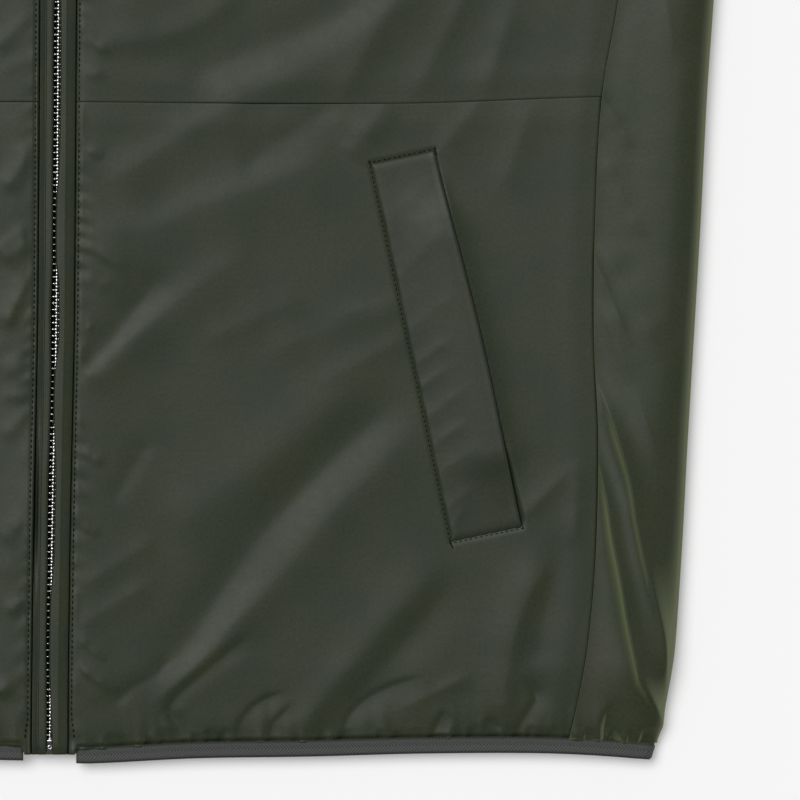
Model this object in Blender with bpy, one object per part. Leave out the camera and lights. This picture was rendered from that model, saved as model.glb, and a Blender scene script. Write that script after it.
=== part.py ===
"""A lightly padded zip-through gilet, zipped up and laid flat on its back.

Metres, +Z up from the surface it lies on, +X towards the wearer's left, +Y from hem to collar.
Heights in the tables are millimetres up from the hem's lowest point, and widths are millimetres
from the middle of the garment. The parent empty moves the hem down the Y axis, so that the origin
is on the surface under the middle of the garment.
"""

import math
from bisect import bisect_right
from collections import namedtuple

import bmesh
import bpy
from mathutils import Vector

MM = 0.001

# Overall sizes and the layers of the stack, from the surface up
LENGTH = 735 * MM
SEAM_GAP = 0.3 * MM
WALL = 4.0 * MM            # shell, thin wadding and lining together
HEM_WALL = 2.6 * MM        # the same, pressed flat where the hem elastic is sewn on
BACK_TOP = WALL            # the back lies flat on the surface
LAY_GAP = 0.6 * MM         # least gap between the front and the back that it lies on
SIDE_HEIGHT = 12.0 * MM    # height of the soft fold down each side
HEM_HEIGHT = 7.2 * MM      # and of the same fold at the hem
HEM_RISE = 45 * MM         # the padding reaches its full height this far above the hem

# Width of the garment, up the side: the folded edge and the seam in front of it
Outline = namedtuple("Outline", "height edge seam")
OUTLINE = [
    Outline(10, 260.0, 221.9),
    Outline(28, 264.0, 226.0),
    Outline(52, 267.7, 230.2),
    Outline(90, 270.8, 233.5),
    Outline(140, 273.5, 234.6),
    Outline(185, 276.2, 232.7),
    Outline(240, 279.4, 233.4),
    Outline(288, 281.8, 236.2),
    Outline(330, 284.7, 243.2),
    Outline(390, 288.5, 250.8),
    Outline(433, 290.0, 256.0),
]

# Lower edge of the hem binding and the chest seam, across the front
Across = namedtuple("Across", "width hem_low chest_seam")
ACROSS = [
    Across(0, 0.6, 286.0),
    Across(15, 0.0, 286.0),
    Across(60, 2.2, 285.6),
    Across(110, 3.0, 285.3),
    Across(160, 4.3, 285.6),
    Across(215, 4.3, 287.6),
    Across(262, 1.6, 289.0),
]

# Armholes, from the fold under the arm to the shoulder
ArmholePoint = namedtuple("ArmholePoint", "width height")
ARMHOLE_FRONT = [ArmholePoint(*p) for p in
                 [(286.2, 418), (272, 421), (256, 433), (225, 475), (207, 530), (205, 590), (222, 648)]]
ARMHOLE_BACK = [ArmholePoint(*p) for p in
                [(286.2, 418), (272, 421), (256, 433), (231, 478), (216, 530), (212, 590), (222, 648)]]
UNDERARM_POINTS = 2        # spans of the armhole that belong to the side panel

# Neck and collar
NECK_WIDTH = 82 * MM
NECK_FRONT = 590 * MM
NECK_POINT = 672 * MM
NECK_BACK_DIP = 22 * MM
COLLAR_FRONT_TOP = 664 * MM
COLLAR_BACK_DIP = 14 * MM
COLLAR_Z = 7.6 * MM        # middle of the collar's front wall
COLLAR_FLARE = 3 * MM

# Bindings of flat elastic braid round the hem and the armholes
BINDING_WIDTH = 7.0 * MM
BINDING_THICK = 2.4 * MM
ARMHOLE_BINDING_GAP = 0.7 * MM

# Zip: offsets from its middle line, which leans a little as the garment lies
ZIP_LEAN = 0.011
ZIP_UPRIGHT_AT = 235 * MM
ZIP_END = 3.9 * MM
ZIP_TOP = 660 * MM
FRONT_EDGE = 8.1 * MM
LIP_OUTER = 7.7 * MM
LIP_INNER = 1.5 * MM
LIP_PARTED = 5.8 * MM      # the lips stand this far apart round the slider
TAPE_INNER = 1.0 * MM
TAPE_OUTER = 11.0 * MM
TAPE_Z = (4.4 * MM, 5.2 * MM)
CHAIN_HALF = 2.5 * MM
CHAIN_Z = (5.5 * MM, 6.9 * MM)
BOX_HALF = 3.2 * MM
BOX_TOP = 9.8 * MM
ZIP_LIFT = 1.2 * MM        # the front edges ride over the zip tape
ZIP_LIFT_REACH = 45 * MM
TONGUE_HEIGHT = 3.9 * MM   # the turned front edge runs down past the end of the hem binding
BINDING_START = 11.5 * MM

# Slider and pull tab
SLIDER_MID = 645 * MM
SLIDER_LONG = 11 * MM
SLIDER_HALF = 4.4 * MM
SLIDER_NOSE = 3.0 * MM
SLIDER_Z = (7.2 * MM, 8.4 * MM)
BRIDGE_HALF = 0.8 * MM
BRIDGE_LONG = 7.0 * MM
BRIDGE_POST = 1.4 * MM
BRIDGE_TOP = 12.6 * MM
BRIDGE_ROOF = 1.3 * MM
PULL_AXIS = (646 * MM, 9.9 * MM)    # height above the hem and above the surface
PULL_THICK = 1.2 * MM
PULL_LONG = 30 * MM
PULL_HALF = 3.4 * MM
PULL_SLOT_HALF = 1.3 * MM
PULL_SLOT_LONG = 5.0 * MM
PULL_BAR = 1.2 * MM
STOP_SIZE = (1.9 * MM, 3.0 * MM)

# Pocket welt: a folded strip on the lower front, leaning outwards towards the hem
POCKET_MIDDLE = (168.8 * MM, 180.8 * MM)
POCKET_LONG = 166 * MM
POCKET_WIDE = 29.5 * MM
POCKET_TILT = math.radians(12.0)
WELT_THICK = 2.2 * MM

# The largest folds of the front: a soft ridge from one point to the other
Fold = namedtuple("Fold", "width_a height_a width_b height_b half_width lift")
FRONT_FOLDS = [
    Fold(30, 28, 120, 118, 11, 2.2),
    Fold(108, 22, 152, 82, 8, 2.0),
    Fold(12, 166, 90, 250, 13, 1.6),
    Fold(60, 290, 190, 350, 14, 1.5),
    Fold(20, 330, 110, 420, 14, 1.5),
    Fold(204, 20, 212, 78, 7, 1.8),
    Fold(90, 470, 170, 560, 16, 1.6),
]
SIDE_LIFT = 1.0 * MM       # the front rises towards the side panel
SIDE_LIFT_REACH = 60 * MM

# Grid lines: fine enough for the folds, and few
FRONT_COLUMNS = [0, 0.0115, 0.0137, 0.05, 0.12, 0.2, 0.28, 0.36, 0.44, 0.52, 0.6, 0.68, 0.76, 0.84, 0.92, 1]
LOWER_ROWS = 16
CENTRE_ROWS, NECK_ROWS = 10, 5          # of the upper front's inner edge
SEAM_ROWS, ARMHOLE_ROWS = 6, 9          # and of its outer edge
SIDE_ROWS = 13
SIDE_FLAT_COLUMNS = 4
SIDE_ARC_COLUMNS = 6
BACK_COLUMNS = 10
HEM_COLUMNS = 14
COLLAR_BACK_COLUMNS = 5
ARMHOLE_BINDING_STEPS = 18
ZIP_ROWS = 22
FOLD_ARC_POINTS = 3


# Interpolation

def smooth(value, knots, results):
    """A smooth curve through the results, read at one value of the knots."""
    i = min(max(bisect_right(knots, value) - 1, 0), len(knots) - 2)

    def slope(k):
        a, b = max(k - 1, 0), min(k + 1, len(knots) - 1)
        return (results[b] - results[a]) / (knots[b] - knots[a])

    step = knots[i + 1] - knots[i]
    t = min(max((value - knots[i]) / step, 0), 1)
    return ((1 + 2 * t) * (1 - t) ** 2 * results[i] + t * (1 - t) ** 2 * step * slope(i)
            + t * t * (3 - 2 * t) * results[i + 1] + t * t * (t - 1) * step * slope(i + 1))


def column(table, knot, name, value):
    """One column of a table in millimetres, read smoothly at a value in metres."""
    return smooth(value / MM, [getattr(r, knot) for r in table], [getattr(r, name) for r in table]) * MM


def ease(t):
    """0 to 1 with soft ends."""
    t = min(max(t, 0), 1)
    return t * t * (3 - 2 * t)


def mix(a, b, t):
    return a + (b - a) * t


def spaced(first, last, steps):
    return [mix(first, last, i / steps) for i in range(steps + 1)]


# Lines of the pattern

def edge_at(height):
    return column(OUTLINE, "height", "edge", height)


def seam_at(height):
    return column(OUTLINE, "height", "seam", height)


def hem_low(width):
    return column(ACROSS, "width", "hem_low", abs(width))


def hem_seam(width):
    return hem_low(width) + BINDING_WIDTH


def chest_seam(width):
    return column(ACROSS, "width", "chest_seam", abs(width))


def zip_middle(height):
    return ZIP_LEAN * (height - ZIP_UPRIGHT_AT)


def armhole_line(points, spans, steps):
    """Points along some spans of an armhole, as (width, height) in metres."""
    first, last = spans
    knots = list(range(len(points)))
    widths = [p.width for p in points]
    heights = [p.height for p in points]
    return [(smooth(t, knots, widths) * MM, smooth(t, knots, heights) * MM)
            for t in spaced(first, last, steps)]


def underarm_height(width):
    """Top edge of the side panel, where it meets the armhole."""
    line = armhole_line(ARMHOLE_FRONT, (0, UNDERARM_POINTS), 12)[::-1]
    return smooth(width, [w for w, _ in line], [h for _, h in line])


def neck_line(side, inset=0.0):
    """Front neckline from the zip to the shoulder: a quarter of an ellipse, moved in by the inset."""
    start = zip_middle(NECK_FRONT) + side * FRONT_EDGE
    across = side * (NECK_WIDTH - inset) - start
    rise = NECK_POINT - NECK_FRONT - inset
    quarter = spaced(0, math.pi / 2, NECK_ROWS)
    return [(start + across * math.sin(a), NECK_POINT - rise * math.cos(a)) for a in quarter]


# Heights of the cloth above the surface

def wall_at(height):
    return mix(HEM_WALL, WALL, ease(height / HEM_RISE))


def fold_lift(width, height):
    """How far the largest folds raise the front, at a width on either side."""
    total = 0
    for f in FRONT_FOLDS:
        ax, ay = f.width_a * MM, f.height_a * MM
        dx, dy = f.width_b * MM - ax, f.height_b * MM - ay
        length = math.hypot(dx, dy)
        along = ((abs(width) - ax) * dx + (height - ay) * dy) / length
        away = ((abs(width) - ax) * dy - (height - ay) * dx) / length
        taper = ease(along / (0.3 * length)) * ease((length - along) / (0.3 * length))
        total += f.lift * MM * taper * math.exp(-(away / (f.half_width * MM)) ** 2)
    return total


def front_under(width, height):
    """Underside of the front: it lies on the back, and rises over the zip, the folds and the side."""
    from_zip = abs(width - zip_middle(height)) - FRONT_EDGE
    from_seam = seam_at(height) - abs(width)
    zip_lift = ZIP_LIFT * (1 - ease(from_zip / ZIP_LIFT_REACH))
    side_lift = SIDE_LIFT * (1 - ease(from_seam / SIDE_LIFT_REACH)) * ease(height / HEM_RISE)
    folds = fold_lift(width, height) * ease(height / HEM_RISE)
    return BACK_TOP + LAY_GAP + max(zip_lift, side_lift) + folds


def front_top(width, height):
    return front_under(width, height) + wall_at(height)


# Mesh makers

def material(name, colour, roughness, metallic=0.0):
    made = bpy.data.materials.get(name) or bpy.data.materials.new(name)
    made.use_nodes = True
    shader = made.node_tree.nodes["Principled BSDF"]
    shader.inputs["Base Color"].default_value = (*colour, 1)
    shader.inputs["Roughness"].default_value = roughness
    shader.inputs["Metallic"].default_value = metallic
    return made


def make_object(name, vertices, faces, finish):
    """One closed body, with its faces pointing out."""
    mesh = bpy.data.meshes.new(name)
    mesh.from_pydata([tuple(v) for v in vertices], [], faces)
    work = bmesh.new()
    work.from_mesh(mesh)
    bmesh.ops.recalc_face_normals(work, faces=work.faces)
    work.to_mesh(mesh)
    work.free()
    mesh.shade_smooth()
    mesh.set_sharp_from_angle(angle=math.radians(40))
    mesh.materials.append(finish)
    made = bpy.data.objects.new(name, mesh)
    bpy.context.collection.objects.link(made)
    made.parent = garment
    return made


def shell(name, upper, lower, finish):
    """A wall between two grids of points that have the same rows and columns."""
    rows, columns = len(upper), len(upper[0])
    vertices = [p for grid in (upper, lower) for row in grid for p in row]
    below = rows * columns

    def at(j, i):
        return j * columns + i

    faces = []
    for j in range(rows - 1):
        for i in range(columns - 1):
            quad = (at(j, i), at(j, i + 1), at(j + 1, i + 1), at(j + 1, i))
            faces.append(quad)
            faces.append(tuple(below + k for k in reversed(quad)))
    rim = ([at(0, i) for i in range(columns)] + [at(j, columns - 1) for j in range(1, rows)]
           + [at(rows - 1, i) for i in range(columns - 2, -1, -1)]
           + [at(j, 0) for j in range(rows - 2, 0, -1)])
    for a, b in zip(rim, rim[1:] + rim[:1]):
        faces.append((a, below + a, below + b, b))
    return make_object(name, vertices, faces, finish)


def cloth(name, plan, finish, top=front_top, under=front_under):
    """A panel over a plan of (width, height) points."""
    upper = [[(x, y, top(x, y)) for x, y in row] for row in plan]
    lower = [[(x, y, under(x, y)) for x, y in row] for row in plan]
    return shell(name, upper, lower, finish)


def band(name, low_edge, high_edge, thick, finish, closed):
    """A flat strip between two edges, of one thickness, open or joined into a ring."""
    low_edge, high_edge = [Vector(p) for p in low_edge], [Vector(p) for p in high_edge]
    count = len(low_edge)
    vertices = []
    for i in range(count):
        before = low_edge[i - 1] if closed or i else low_edge[i]
        after = low_edge[(i + 1) % count] if closed or i + 1 < count else low_edge[i]
        out = (after - before).cross(high_edge[i] - low_edge[i]).normalized() * thick / 2
        vertices += [low_edge[i] + out, high_edge[i] + out, high_edge[i] - out, low_edge[i] - out]
    faces = []
    for i in range(count if closed else count - 1):
        a, b = 4 * i, 4 * ((i + 1) % count)
        faces += [(a + k, a + (k + 1) % 4, b + (k + 1) % 4, b + k) for k in range(4)]
    if not closed:
        faces += [(0, 1, 2, 3), tuple(4 * (count - 1) + k for k in (3, 2, 1, 0))]
    return make_object(name, vertices, faces, finish)


def block(name, low, high, finish):
    """A plain box between two corners, with bevelled edges."""
    made = make_object(name, [(x, y, z) for z in (low[2], high[2]) for y in (low[1], high[1])
                              for x in (low[0], high[0])],
                       [(0, 2, 3, 1), (4, 5, 7, 6), (0, 1, 5, 4), (2, 6, 7, 3), (0, 4, 6, 2), (1, 3, 7, 5)],
                       finish)
    rounded = made.modifiers.new("rounded", "BEVEL")
    rounded.width = 0.25 * MM
    rounded.segments = 1
    return made


def prism(name, outline, low, high, finish):
    """A flat plate from an outline of (x, y) points, between two heights."""
    count = len(outline)
    vertices = [(x, y, z) for z in (low, high) for x, y in outline]
    faces = [tuple(range(count))[::-1], tuple(range(count, 2 * count))]
    faces += [(i, (i + 1) % count, count + (i + 1) % count, count + i) for i in range(count)]
    return make_object(name, vertices, faces, finish)


# Front panels

def front_lower(side, name, finish):
    """Lower front, from the hem to the chest seam."""
    plan = []
    for v in spaced(0, 1, LOWER_ROWS):
        row = []
        for k, u in enumerate(FRONT_COLUMNS):
            height = chest_seam(0) * v
            for _ in range(4):
                inner = zip_middle(height) + side * FRONT_EDGE
                outer = side * (seam_at(height) - SEAM_GAP / 2)
                x = mix(inner, outer, u)
                foot = TONGUE_HEIGHT if k < 2 else hem_seam(x) + SEAM_GAP
                height = mix(foot, chest_seam(x) - SEAM_GAP / 2, v)
            row.append((x, height))
        plan.append(row)
    return cloth(name, plan, finish)


def front_upper(side, name, finish):
    """Upper front, from the chest seam to the neck, the armhole and the shoulder."""
    chest = chest_seam(0)
    inner = [(zip_middle(y) + side * FRONT_EDGE, y) for y in spaced(chest, NECK_FRONT, CENTRE_ROWS)]
    inner += neck_line(side)[1:]
    last = len(ARMHOLE_FRONT) - 1
    seam_top = ARMHOLE_FRONT[UNDERARM_POINTS].height * MM
    seam_foot = chest_seam(seam_at(chest))
    outer = [(side * (seam_at(y) - SEAM_GAP / 2), y) for y in spaced(seam_foot, seam_top, SEAM_ROWS)]
    armhole = armhole_line(ARMHOLE_FRONT, (UNDERARM_POINTS, last), ARMHOLE_ROWS)
    outer += [(side * x, y) for x, y in armhole][1:]
    plan = []
    for j, (a, b) in enumerate(zip(inner, outer)):
        row = []
        for u in FRONT_COLUMNS:
            x, y = mix(a[0], b[0], u), mix(a[1], b[1], u)
            if j == 0:
                y = chest_seam(x) + SEAM_GAP / 2
            row.append((x, y))
        plan.append(row)
    return cloth(name, plan, finish)


# Side panels: each is folded round the side, half on the front and half on the back

def side_panel(side, name, finish):
    outer_grid, inner_grid = [], []
    for v in spaced(0, 1, SIDE_ROWS):
        outer_row, inner_row = [], []
        for half in ("front", "fold", "back"):
            steps = SIDE_ARC_COLUMNS if half == "fold" else SIDE_FLAT_COLUMNS
            for t in spaced(0, 1, steps)[0 if half == "front" else 1:]:
                for grid_row, point in zip((outer_row, inner_row), side_point(half, t, v)):
                    grid_row.append((side * point[0], point[1], point[2]))
        outer_grid.append(outer_row)
        inner_grid.append(inner_row)
    return shell(name, outer_grid, inner_grid, finish)


def side_point(half, t, v):
    """Outer and inner point of the side panel, t along its section and v up it."""
    height = mix(hem_seam(edge_at(0)), ARMHOLE_FRONT[0].height * MM, v)
    for _ in range(4):
        full = mix(HEM_HEIGHT, SIDE_HEIGHT, ease(height / HEM_RISE))
        radius = full / 2
        seam, turn = seam_at(height) + SEAM_GAP / 2, edge_at(height) - radius
        x = {"front": mix(seam, turn, t), "fold": turn, "back": mix(turn, seam, t)}[half]
        height = mix(hem_seam(x) + SEAM_GAP, underarm_height(min(x, ARMHOLE_FRONT[0].width * MM)), v)
    wall = wall_at(height)
    if half == "fold":
        angle = math.pi * t
        hollow = (full - wall - BACK_TOP) / 2
        outer = (turn + radius * math.sin(angle), height, radius + radius * math.cos(angle))
        inner = (turn + max(radius - WALL, SEAM_GAP) * math.sin(angle), height,
                 BACK_TOP + hollow + hollow * math.cos(angle))
    elif half == "front":
        z = mix(front_top(seam, height), full, ease(t))
        outer, inner = (x, height, z), (x, height, z - wall)
    else:
        outer, inner = (x, height, 0), (x, height, BACK_TOP)
    return outer, inner


# Back: one piece, flat on the surface

def back_panel(name, finish):
    last = len(ARMHOLE_BACK) - 1
    hem = hem_seam(seam_at(0)) + SEAM_GAP
    seam_top = ARMHOLE_BACK[UNDERARM_POINTS].height * MM
    outer = [(seam_at(y) - SEAM_GAP / 2, y) for y in spaced(hem, seam_top, SIDE_ROWS)]
    outer += armhole_line(ARMHOLE_BACK, (UNDERARM_POINTS, last), ARMHOLE_ROWS)[1:]
    shoulder, neck = outer[-1], (NECK_WIDTH, NECK_POINT)
    outer += [(mix(shoulder[0], neck[0], t), mix(shoulder[1], neck[1], t)) for t in (0.5, 1)]
    plan = []
    for j, (x_edge, y_edge) in enumerate(outer):
        share = ease(j / (len(outer) - 1)) ** 2
        row = []
        for u in spaced(-1, 1, BACK_COLUMNS):
            x = u * x_edge
            y = y_edge - NECK_BACK_DIP * share * (1 - u * u)
            row.append((x, hem_seam(x) + SEAM_GAP if j == 0 else y))
        plan.append(row)
    return cloth(name, plan, finish, top=lambda x, y: BACK_TOP, under=lambda x, y: 0.0)


# Bands that go round the garment: each is flat on the front, folded at the sides and flat on the back

def fold_arc(x_turn, z_front, z_back):
    """(x, z) points round a side fold, between the front level and the back level."""
    radius = (z_front - z_back) / 2
    angles = [math.pi * k / (FOLD_ARC_POINTS + 1) for k in range(1, FOLD_ARC_POINTS + 1)]
    return [(x_turn + radius * math.sin(a), z_back + radius + radius * math.cos(a)) for a in angles]


def hem_binding(name, finish):
    """Elastic braid from one side of the zip, round the back, to the other."""
    z_front, z_back = HEM_HEIGHT - BINDING_THICK / 2, BINDING_THICK / 2
    edge = edge_at(0) - SEAM_GAP
    turn = edge - HEM_HEIGHT / 2
    start = zip_middle(0)
    right = [(x, z_front) for x in spaced(start + BINDING_START, turn, HEM_COLUMNS)]
    right += fold_arc(turn, z_front, z_back)
    across = [(x, z_back) for x in spaced(turn, -turn, HEM_COLUMNS)]
    left = [(-x, z) for x, z in reversed(fold_arc(turn, z_front, z_back))]
    left += [(x, z_front) for x in spaced(-turn, start - BINDING_START, HEM_COLUMNS)]
    path = right + across + left
    low = [(x, hem_low(x), z) for x, z in path]
    high = [(x, hem_seam(x), z) for x, z in path]
    return band(name, low, high, BINDING_THICK, finish, closed=False)


def collar_half(side):
    """Low and high edge of the collar, from the zip to the middle of the back."""
    z_back = WALL / 2
    low = [(x, y, COLLAR_Z) for x, y in neck_line(side, SEAM_GAP)]
    start = zip_middle(COLLAR_FRONT_TOP) + side * FRONT_EDGE
    across = side * (NECK_WIDTH + COLLAR_FLARE) - start
    high = [(start + across * math.sin(a), mix(COLLAR_FRONT_TOP, LENGTH, 1 - math.cos(a)), COLLAR_Z)
            for a in spaced(0, math.pi / 2, NECK_ROWS)]
    for x, z in fold_arc(NECK_WIDTH, COLLAR_Z, z_back):
        low.append((side * x, NECK_POINT + SEAM_GAP, z))
        high.append((side * (x + COLLAR_FLARE), LENGTH, z))
    for u in spaced(1, 0, COLLAR_BACK_COLUMNS):
        sag = 1 - u * u
        low.append((side * u * NECK_WIDTH, NECK_POINT + SEAM_GAP - NECK_BACK_DIP * sag, z_back))
        high.append((side * u * (NECK_WIDTH + COLLAR_FLARE), LENGTH - COLLAR_BACK_DIP * sag, z_back))
    return low, high


def collar(name, finish):
    """Stand collar in one strip, from one side of the zip, round the neck, to the other."""
    low, high = collar_half(1)
    low_end, high_end = collar_half(-1)
    return band(name, low + low_end[-2::-1], high + high_end[-2::-1], WALL, finish, closed=False)


def armhole_binding(side, name, finish):
    """Elastic braid all round an armhole, folded under the arm and over the shoulder."""
    z_front, z_back = HEM_HEIGHT - BINDING_THICK / 2, BINDING_THICK / 2
    steps = ARMHOLE_BINDING_STEPS
    last = len(ARMHOLE_FRONT) - 1
    rings = []
    for points, z in ((ARMHOLE_FRONT, z_front), (ARMHOLE_BACK, z_back)):
        line = armhole_line(points, (0, last), steps)
        half = []
        for i, (x, y) in enumerate(line):
            ahead, behind = line[min(i + 1, steps)], line[max(i - 1, 0)]
            tangent = Vector((ahead[0] - behind[0], ahead[1] - behind[1])).normalized()
            if i == 0:
                tangent = Vector((-1, 0))
            outward = Vector((tangent.y, -tangent.x))
            half.append((Vector((x, y, z)), Vector((outward.x, outward.y, 0))))
        rings.append(half)
    front, back = rings
    under_x, under_y = front[0][0].x, front[0][0].y
    shoulder = front[-1][0]
    path = list(front)
    path += [(Vector((shoulder.x, shoulder.y + dy, z)), front[-1][1])
             for dy, z in fold_arc(0, z_front, z_back)]
    path += back[::-1]
    path += [(Vector((x, under_y, z)), front[0][1])
             for x, z in reversed(fold_arc(under_x, z_front, z_back))]
    low = [p + n * ARMHOLE_BINDING_GAP for p, n in path]
    high = [p + n * (ARMHOLE_BINDING_GAP + BINDING_WIDTH) for p, n in path]
    if side < 0:
        low, high = ([Vector((-p.x, p.y, p.z)) for p in line] for line in (low, high))
    return band(name, low, high, BINDING_THICK, finish, closed=True)


# Zip

def strip(side, name, offsets, heights_of, first, last, finish):
    """A long strip beside the zip: offsets from its middle line, with (under, top) for each."""
    plan_rows = spaced(first, last, ZIP_ROWS)
    upper, lower = [], []
    for y in plan_rows:
        row = [(zip_middle(y) + side * offset, y) for offset in offsets(y)]
        upper.append([(x, y, top) for (x, y), (_, top) in zip(row, heights_of)])
        lower.append([(x, y, under) for (x, y), (under, _) in zip(row, heights_of)])
    return shell(name, upper, lower, finish)


def lip_offsets(y):
    """The lip's edges and its ridge. It stands back where the slider sits."""
    near = 1 - ease((abs(y - SLIDER_MID) - SLIDER_LONG) / (12 * MM))
    inner = mix(LIP_INNER, LIP_PARTED, near)
    return [mix(inner, LIP_OUTER, share) for share in (0, 0.42, 0.52, 1)]


LIP_HEIGHTS = [(7.2 * MM, 8.6 * MM), (7.2 * MM, 8.8 * MM), (6.4 * MM, 8.0 * MM), (6.4 * MM, 8.2 * MM)]


def zip_lip(side, name, finish):
    return strip(side, name, lip_offsets, LIP_HEIGHTS, ZIP_END, ZIP_TOP, finish)


def zip_tape(side, name, finish):
    return strip(side, name, lambda y: [TAPE_INNER, TAPE_OUTER], [TAPE_Z, TAPE_Z], ZIP_END, ZIP_TOP, finish)


def zip_chain(name, finish):
    """The closed row of teeth, as one bar."""
    return strip(1, name, lambda y: [-CHAIN_HALF, CHAIN_HALF], [CHAIN_Z, CHAIN_Z],
                 BOX_TOP + SEAM_GAP, ZIP_TOP - 2 * STOP_SIZE[1], finish)


def zip_box(name, finish):
    """Box at the foot of the zip, which the pin goes into."""
    x = zip_middle(ZIP_END)
    return block(name, (x - BOX_HALF, ZIP_END, CHAIN_Z[0]), (x + BOX_HALF, BOX_TOP, CHAIN_Z[1]), finish)


def zip_stop(side, name, finish):
    """Small metal stop at the top of each row of teeth."""
    wide, long = STOP_SIZE
    low = ZIP_TOP - 2 * long + SEAM_GAP
    x = zip_middle(low) + side * (wide / 2 + SEAM_GAP)
    return block(name, (x - wide / 2, low, CHAIN_Z[0]), (x + wide / 2, low + long, CHAIN_Z[1]), finish)


def zip_slider(name, finish):
    """Slider plate with a bridge along it that carries the pull tab."""
    x = zip_middle(SLIDER_MID)
    foot, head = SLIDER_MID - SLIDER_LONG / 2, SLIDER_MID + SLIDER_LONG / 2
    shoulder = SLIDER_MID + SLIDER_LONG * 0.15
    half = [(SLIDER_NOSE, foot), (SLIDER_HALF, shoulder),
            (SLIDER_HALF, head - SLIDER_LONG * 0.1), (SLIDER_NOSE, head)]
    outline = [(x + w, y) for w, y in half] + [(x - w, y) for w, y in reversed(half)]
    plate = prism(name, outline, *SLIDER_Z, finish)
    axis = PULL_AXIS[0]
    ends = (axis - BRIDGE_LONG / 2, axis + BRIDGE_LONG / 2)
    top, roof, base = BRIDGE_TOP, BRIDGE_TOP - BRIDGE_ROOF, SLIDER_Z[1] - 0.4 * MM
    arch = [(ends[0], base), (ends[0], roof), (ends[0] + BRIDGE_POST, top), (ends[1] - BRIDGE_POST, top),
            (ends[1], roof), (ends[1], base), (ends[1] - BRIDGE_POST, base), (ends[1] - BRIDGE_POST, roof),
            (ends[0] + BRIDGE_POST, roof), (ends[0] + BRIDGE_POST, base)]
    count = len(arch)
    vertices = [(x + s * BRIDGE_HALF, y, z) for s in (-1, 1) for y, z in arch]
    faces = [tuple(range(count)), tuple(range(2 * count - 1, count - 1, -1))]
    faces += [(i, count + i, count + (i + 1) % count, (i + 1) % count) for i in range(count)]
    bridge = make_object(name + "_bridge", vertices, faces, finish)
    bridge.hide_render = True
    bridge.display_type = "WIRE"
    join = plate.modifiers.new("bridge", "BOOLEAN")
    join.operation = "UNION"
    join.object = bridge
    return plate


def zip_pull(name, finish):
    """Pull tab: a flat bar with a slot at its head, whose end bar hangs in the slider's bridge."""
    x = zip_middle(PULL_AXIS[0])
    head, tip = PULL_BAR / 2, -PULL_LONG
    waist = -(PULL_SLOT_LONG + PULL_BAR)
    outline = [(PULL_HALF * 0.75, head), (PULL_HALF, head - PULL_BAR), (PULL_HALF, tip + PULL_HALF),
               (PULL_HALF * 0.7, tip + PULL_HALF * 0.3), (PULL_HALF * 0.3, tip)]
    outline = outline + [(-w, y) for w, y in reversed(outline)]
    slot_top, slot_foot = head - PULL_BAR, waist
    slot = [(PULL_SLOT_HALF, slot_top), (PULL_SLOT_HALF, slot_foot), (-PULL_SLOT_HALF, slot_foot),
            (-PULL_SLOT_HALF, slot_top)]
    tab = prism(name, outline, -PULL_THICK / 2, PULL_THICK / 2, finish)
    cutter = prism(name + "_slot", slot, -PULL_THICK, PULL_THICK, finish)
    for piece in (tab, cutter):
        piece.location = (x, *PULL_AXIS)
    cutter.hide_render = True
    cutter.display_type = "WIRE"
    cut = tab.modifiers.new("slot", "BOOLEAN")
    cut.operation = "DIFFERENCE"
    cut.object = cutter
    return tab


# Pocket welts

def pocket_welt(side, name, finish):
    """Folded strip lying on the lower front, made from the front's own height."""
    down = Vector((math.sin(POCKET_TILT), -math.cos(POCKET_TILT)))
    across = Vector((math.cos(POCKET_TILT), math.sin(POCKET_TILT)))
    plan = []
    for v in spaced(-0.5, 0.5, 8):
        row = []
        for u in spaced(-0.5, 0.5, 3):
            p = Vector(POCKET_MIDDLE) + down * v * POCKET_LONG + across * u * POCKET_WIDE
            row.append((side * p.x, p.y))
        plan.append(row)
    return cloth(name, plan, finish, top=lambda x, y: front_top(x, y) + SEAM_GAP + WELT_THICK,
                 under=lambda x, y: front_top(x, y) + SEAM_GAP)


# Build

for old in list(bpy.data.objects):
    bpy.data.objects.remove(old)

garment = bpy.data.objects.new("gilet", None)
bpy.context.collection.objects.link(garment)
garment.location = (0, -LENGTH / 2, 0)

shell_cloth = material("shell_cloth", (0.048, 0.054, 0.040), 0.48)
braid = material("elastic_braid", (0.058, 0.060, 0.058), 0.75)
tape = material("zip_tape", (0.030, 0.033, 0.026), 0.8)
silver = material("zip_metal", (0.72, 0.72, 0.70), 0.28, 1.0)

for side, word in ((1, "left"), (-1, "right")):
    front_lower(side, f"front_lower_{word}", shell_cloth)
    front_upper(side, f"front_upper_{word}", shell_cloth)
    side_panel(side, f"side_panel_{word}", shell_cloth)
    pocket_welt(side, f"pocket_welt_{word}", shell_cloth)
    armhole_binding(side, f"armhole_binding_{word}", braid)
    zip_lip(side, f"zip_lip_{word}", shell_cloth)
    zip_tape(side, f"zip_tape_{word}", tape)
    zip_stop(side, f"zip_stop_{word}", silver)
back_panel("back", shell_cloth)
collar("collar", shell_cloth)
hem_binding("hem_binding", braid)
zip_chain("zip_chain", silver)
zip_box("zip_box", silver)
zip_slider("zip_slider", silver)
zip_pull("zip_pull", silver)
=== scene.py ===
import math
from collections import namedtuple

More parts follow.
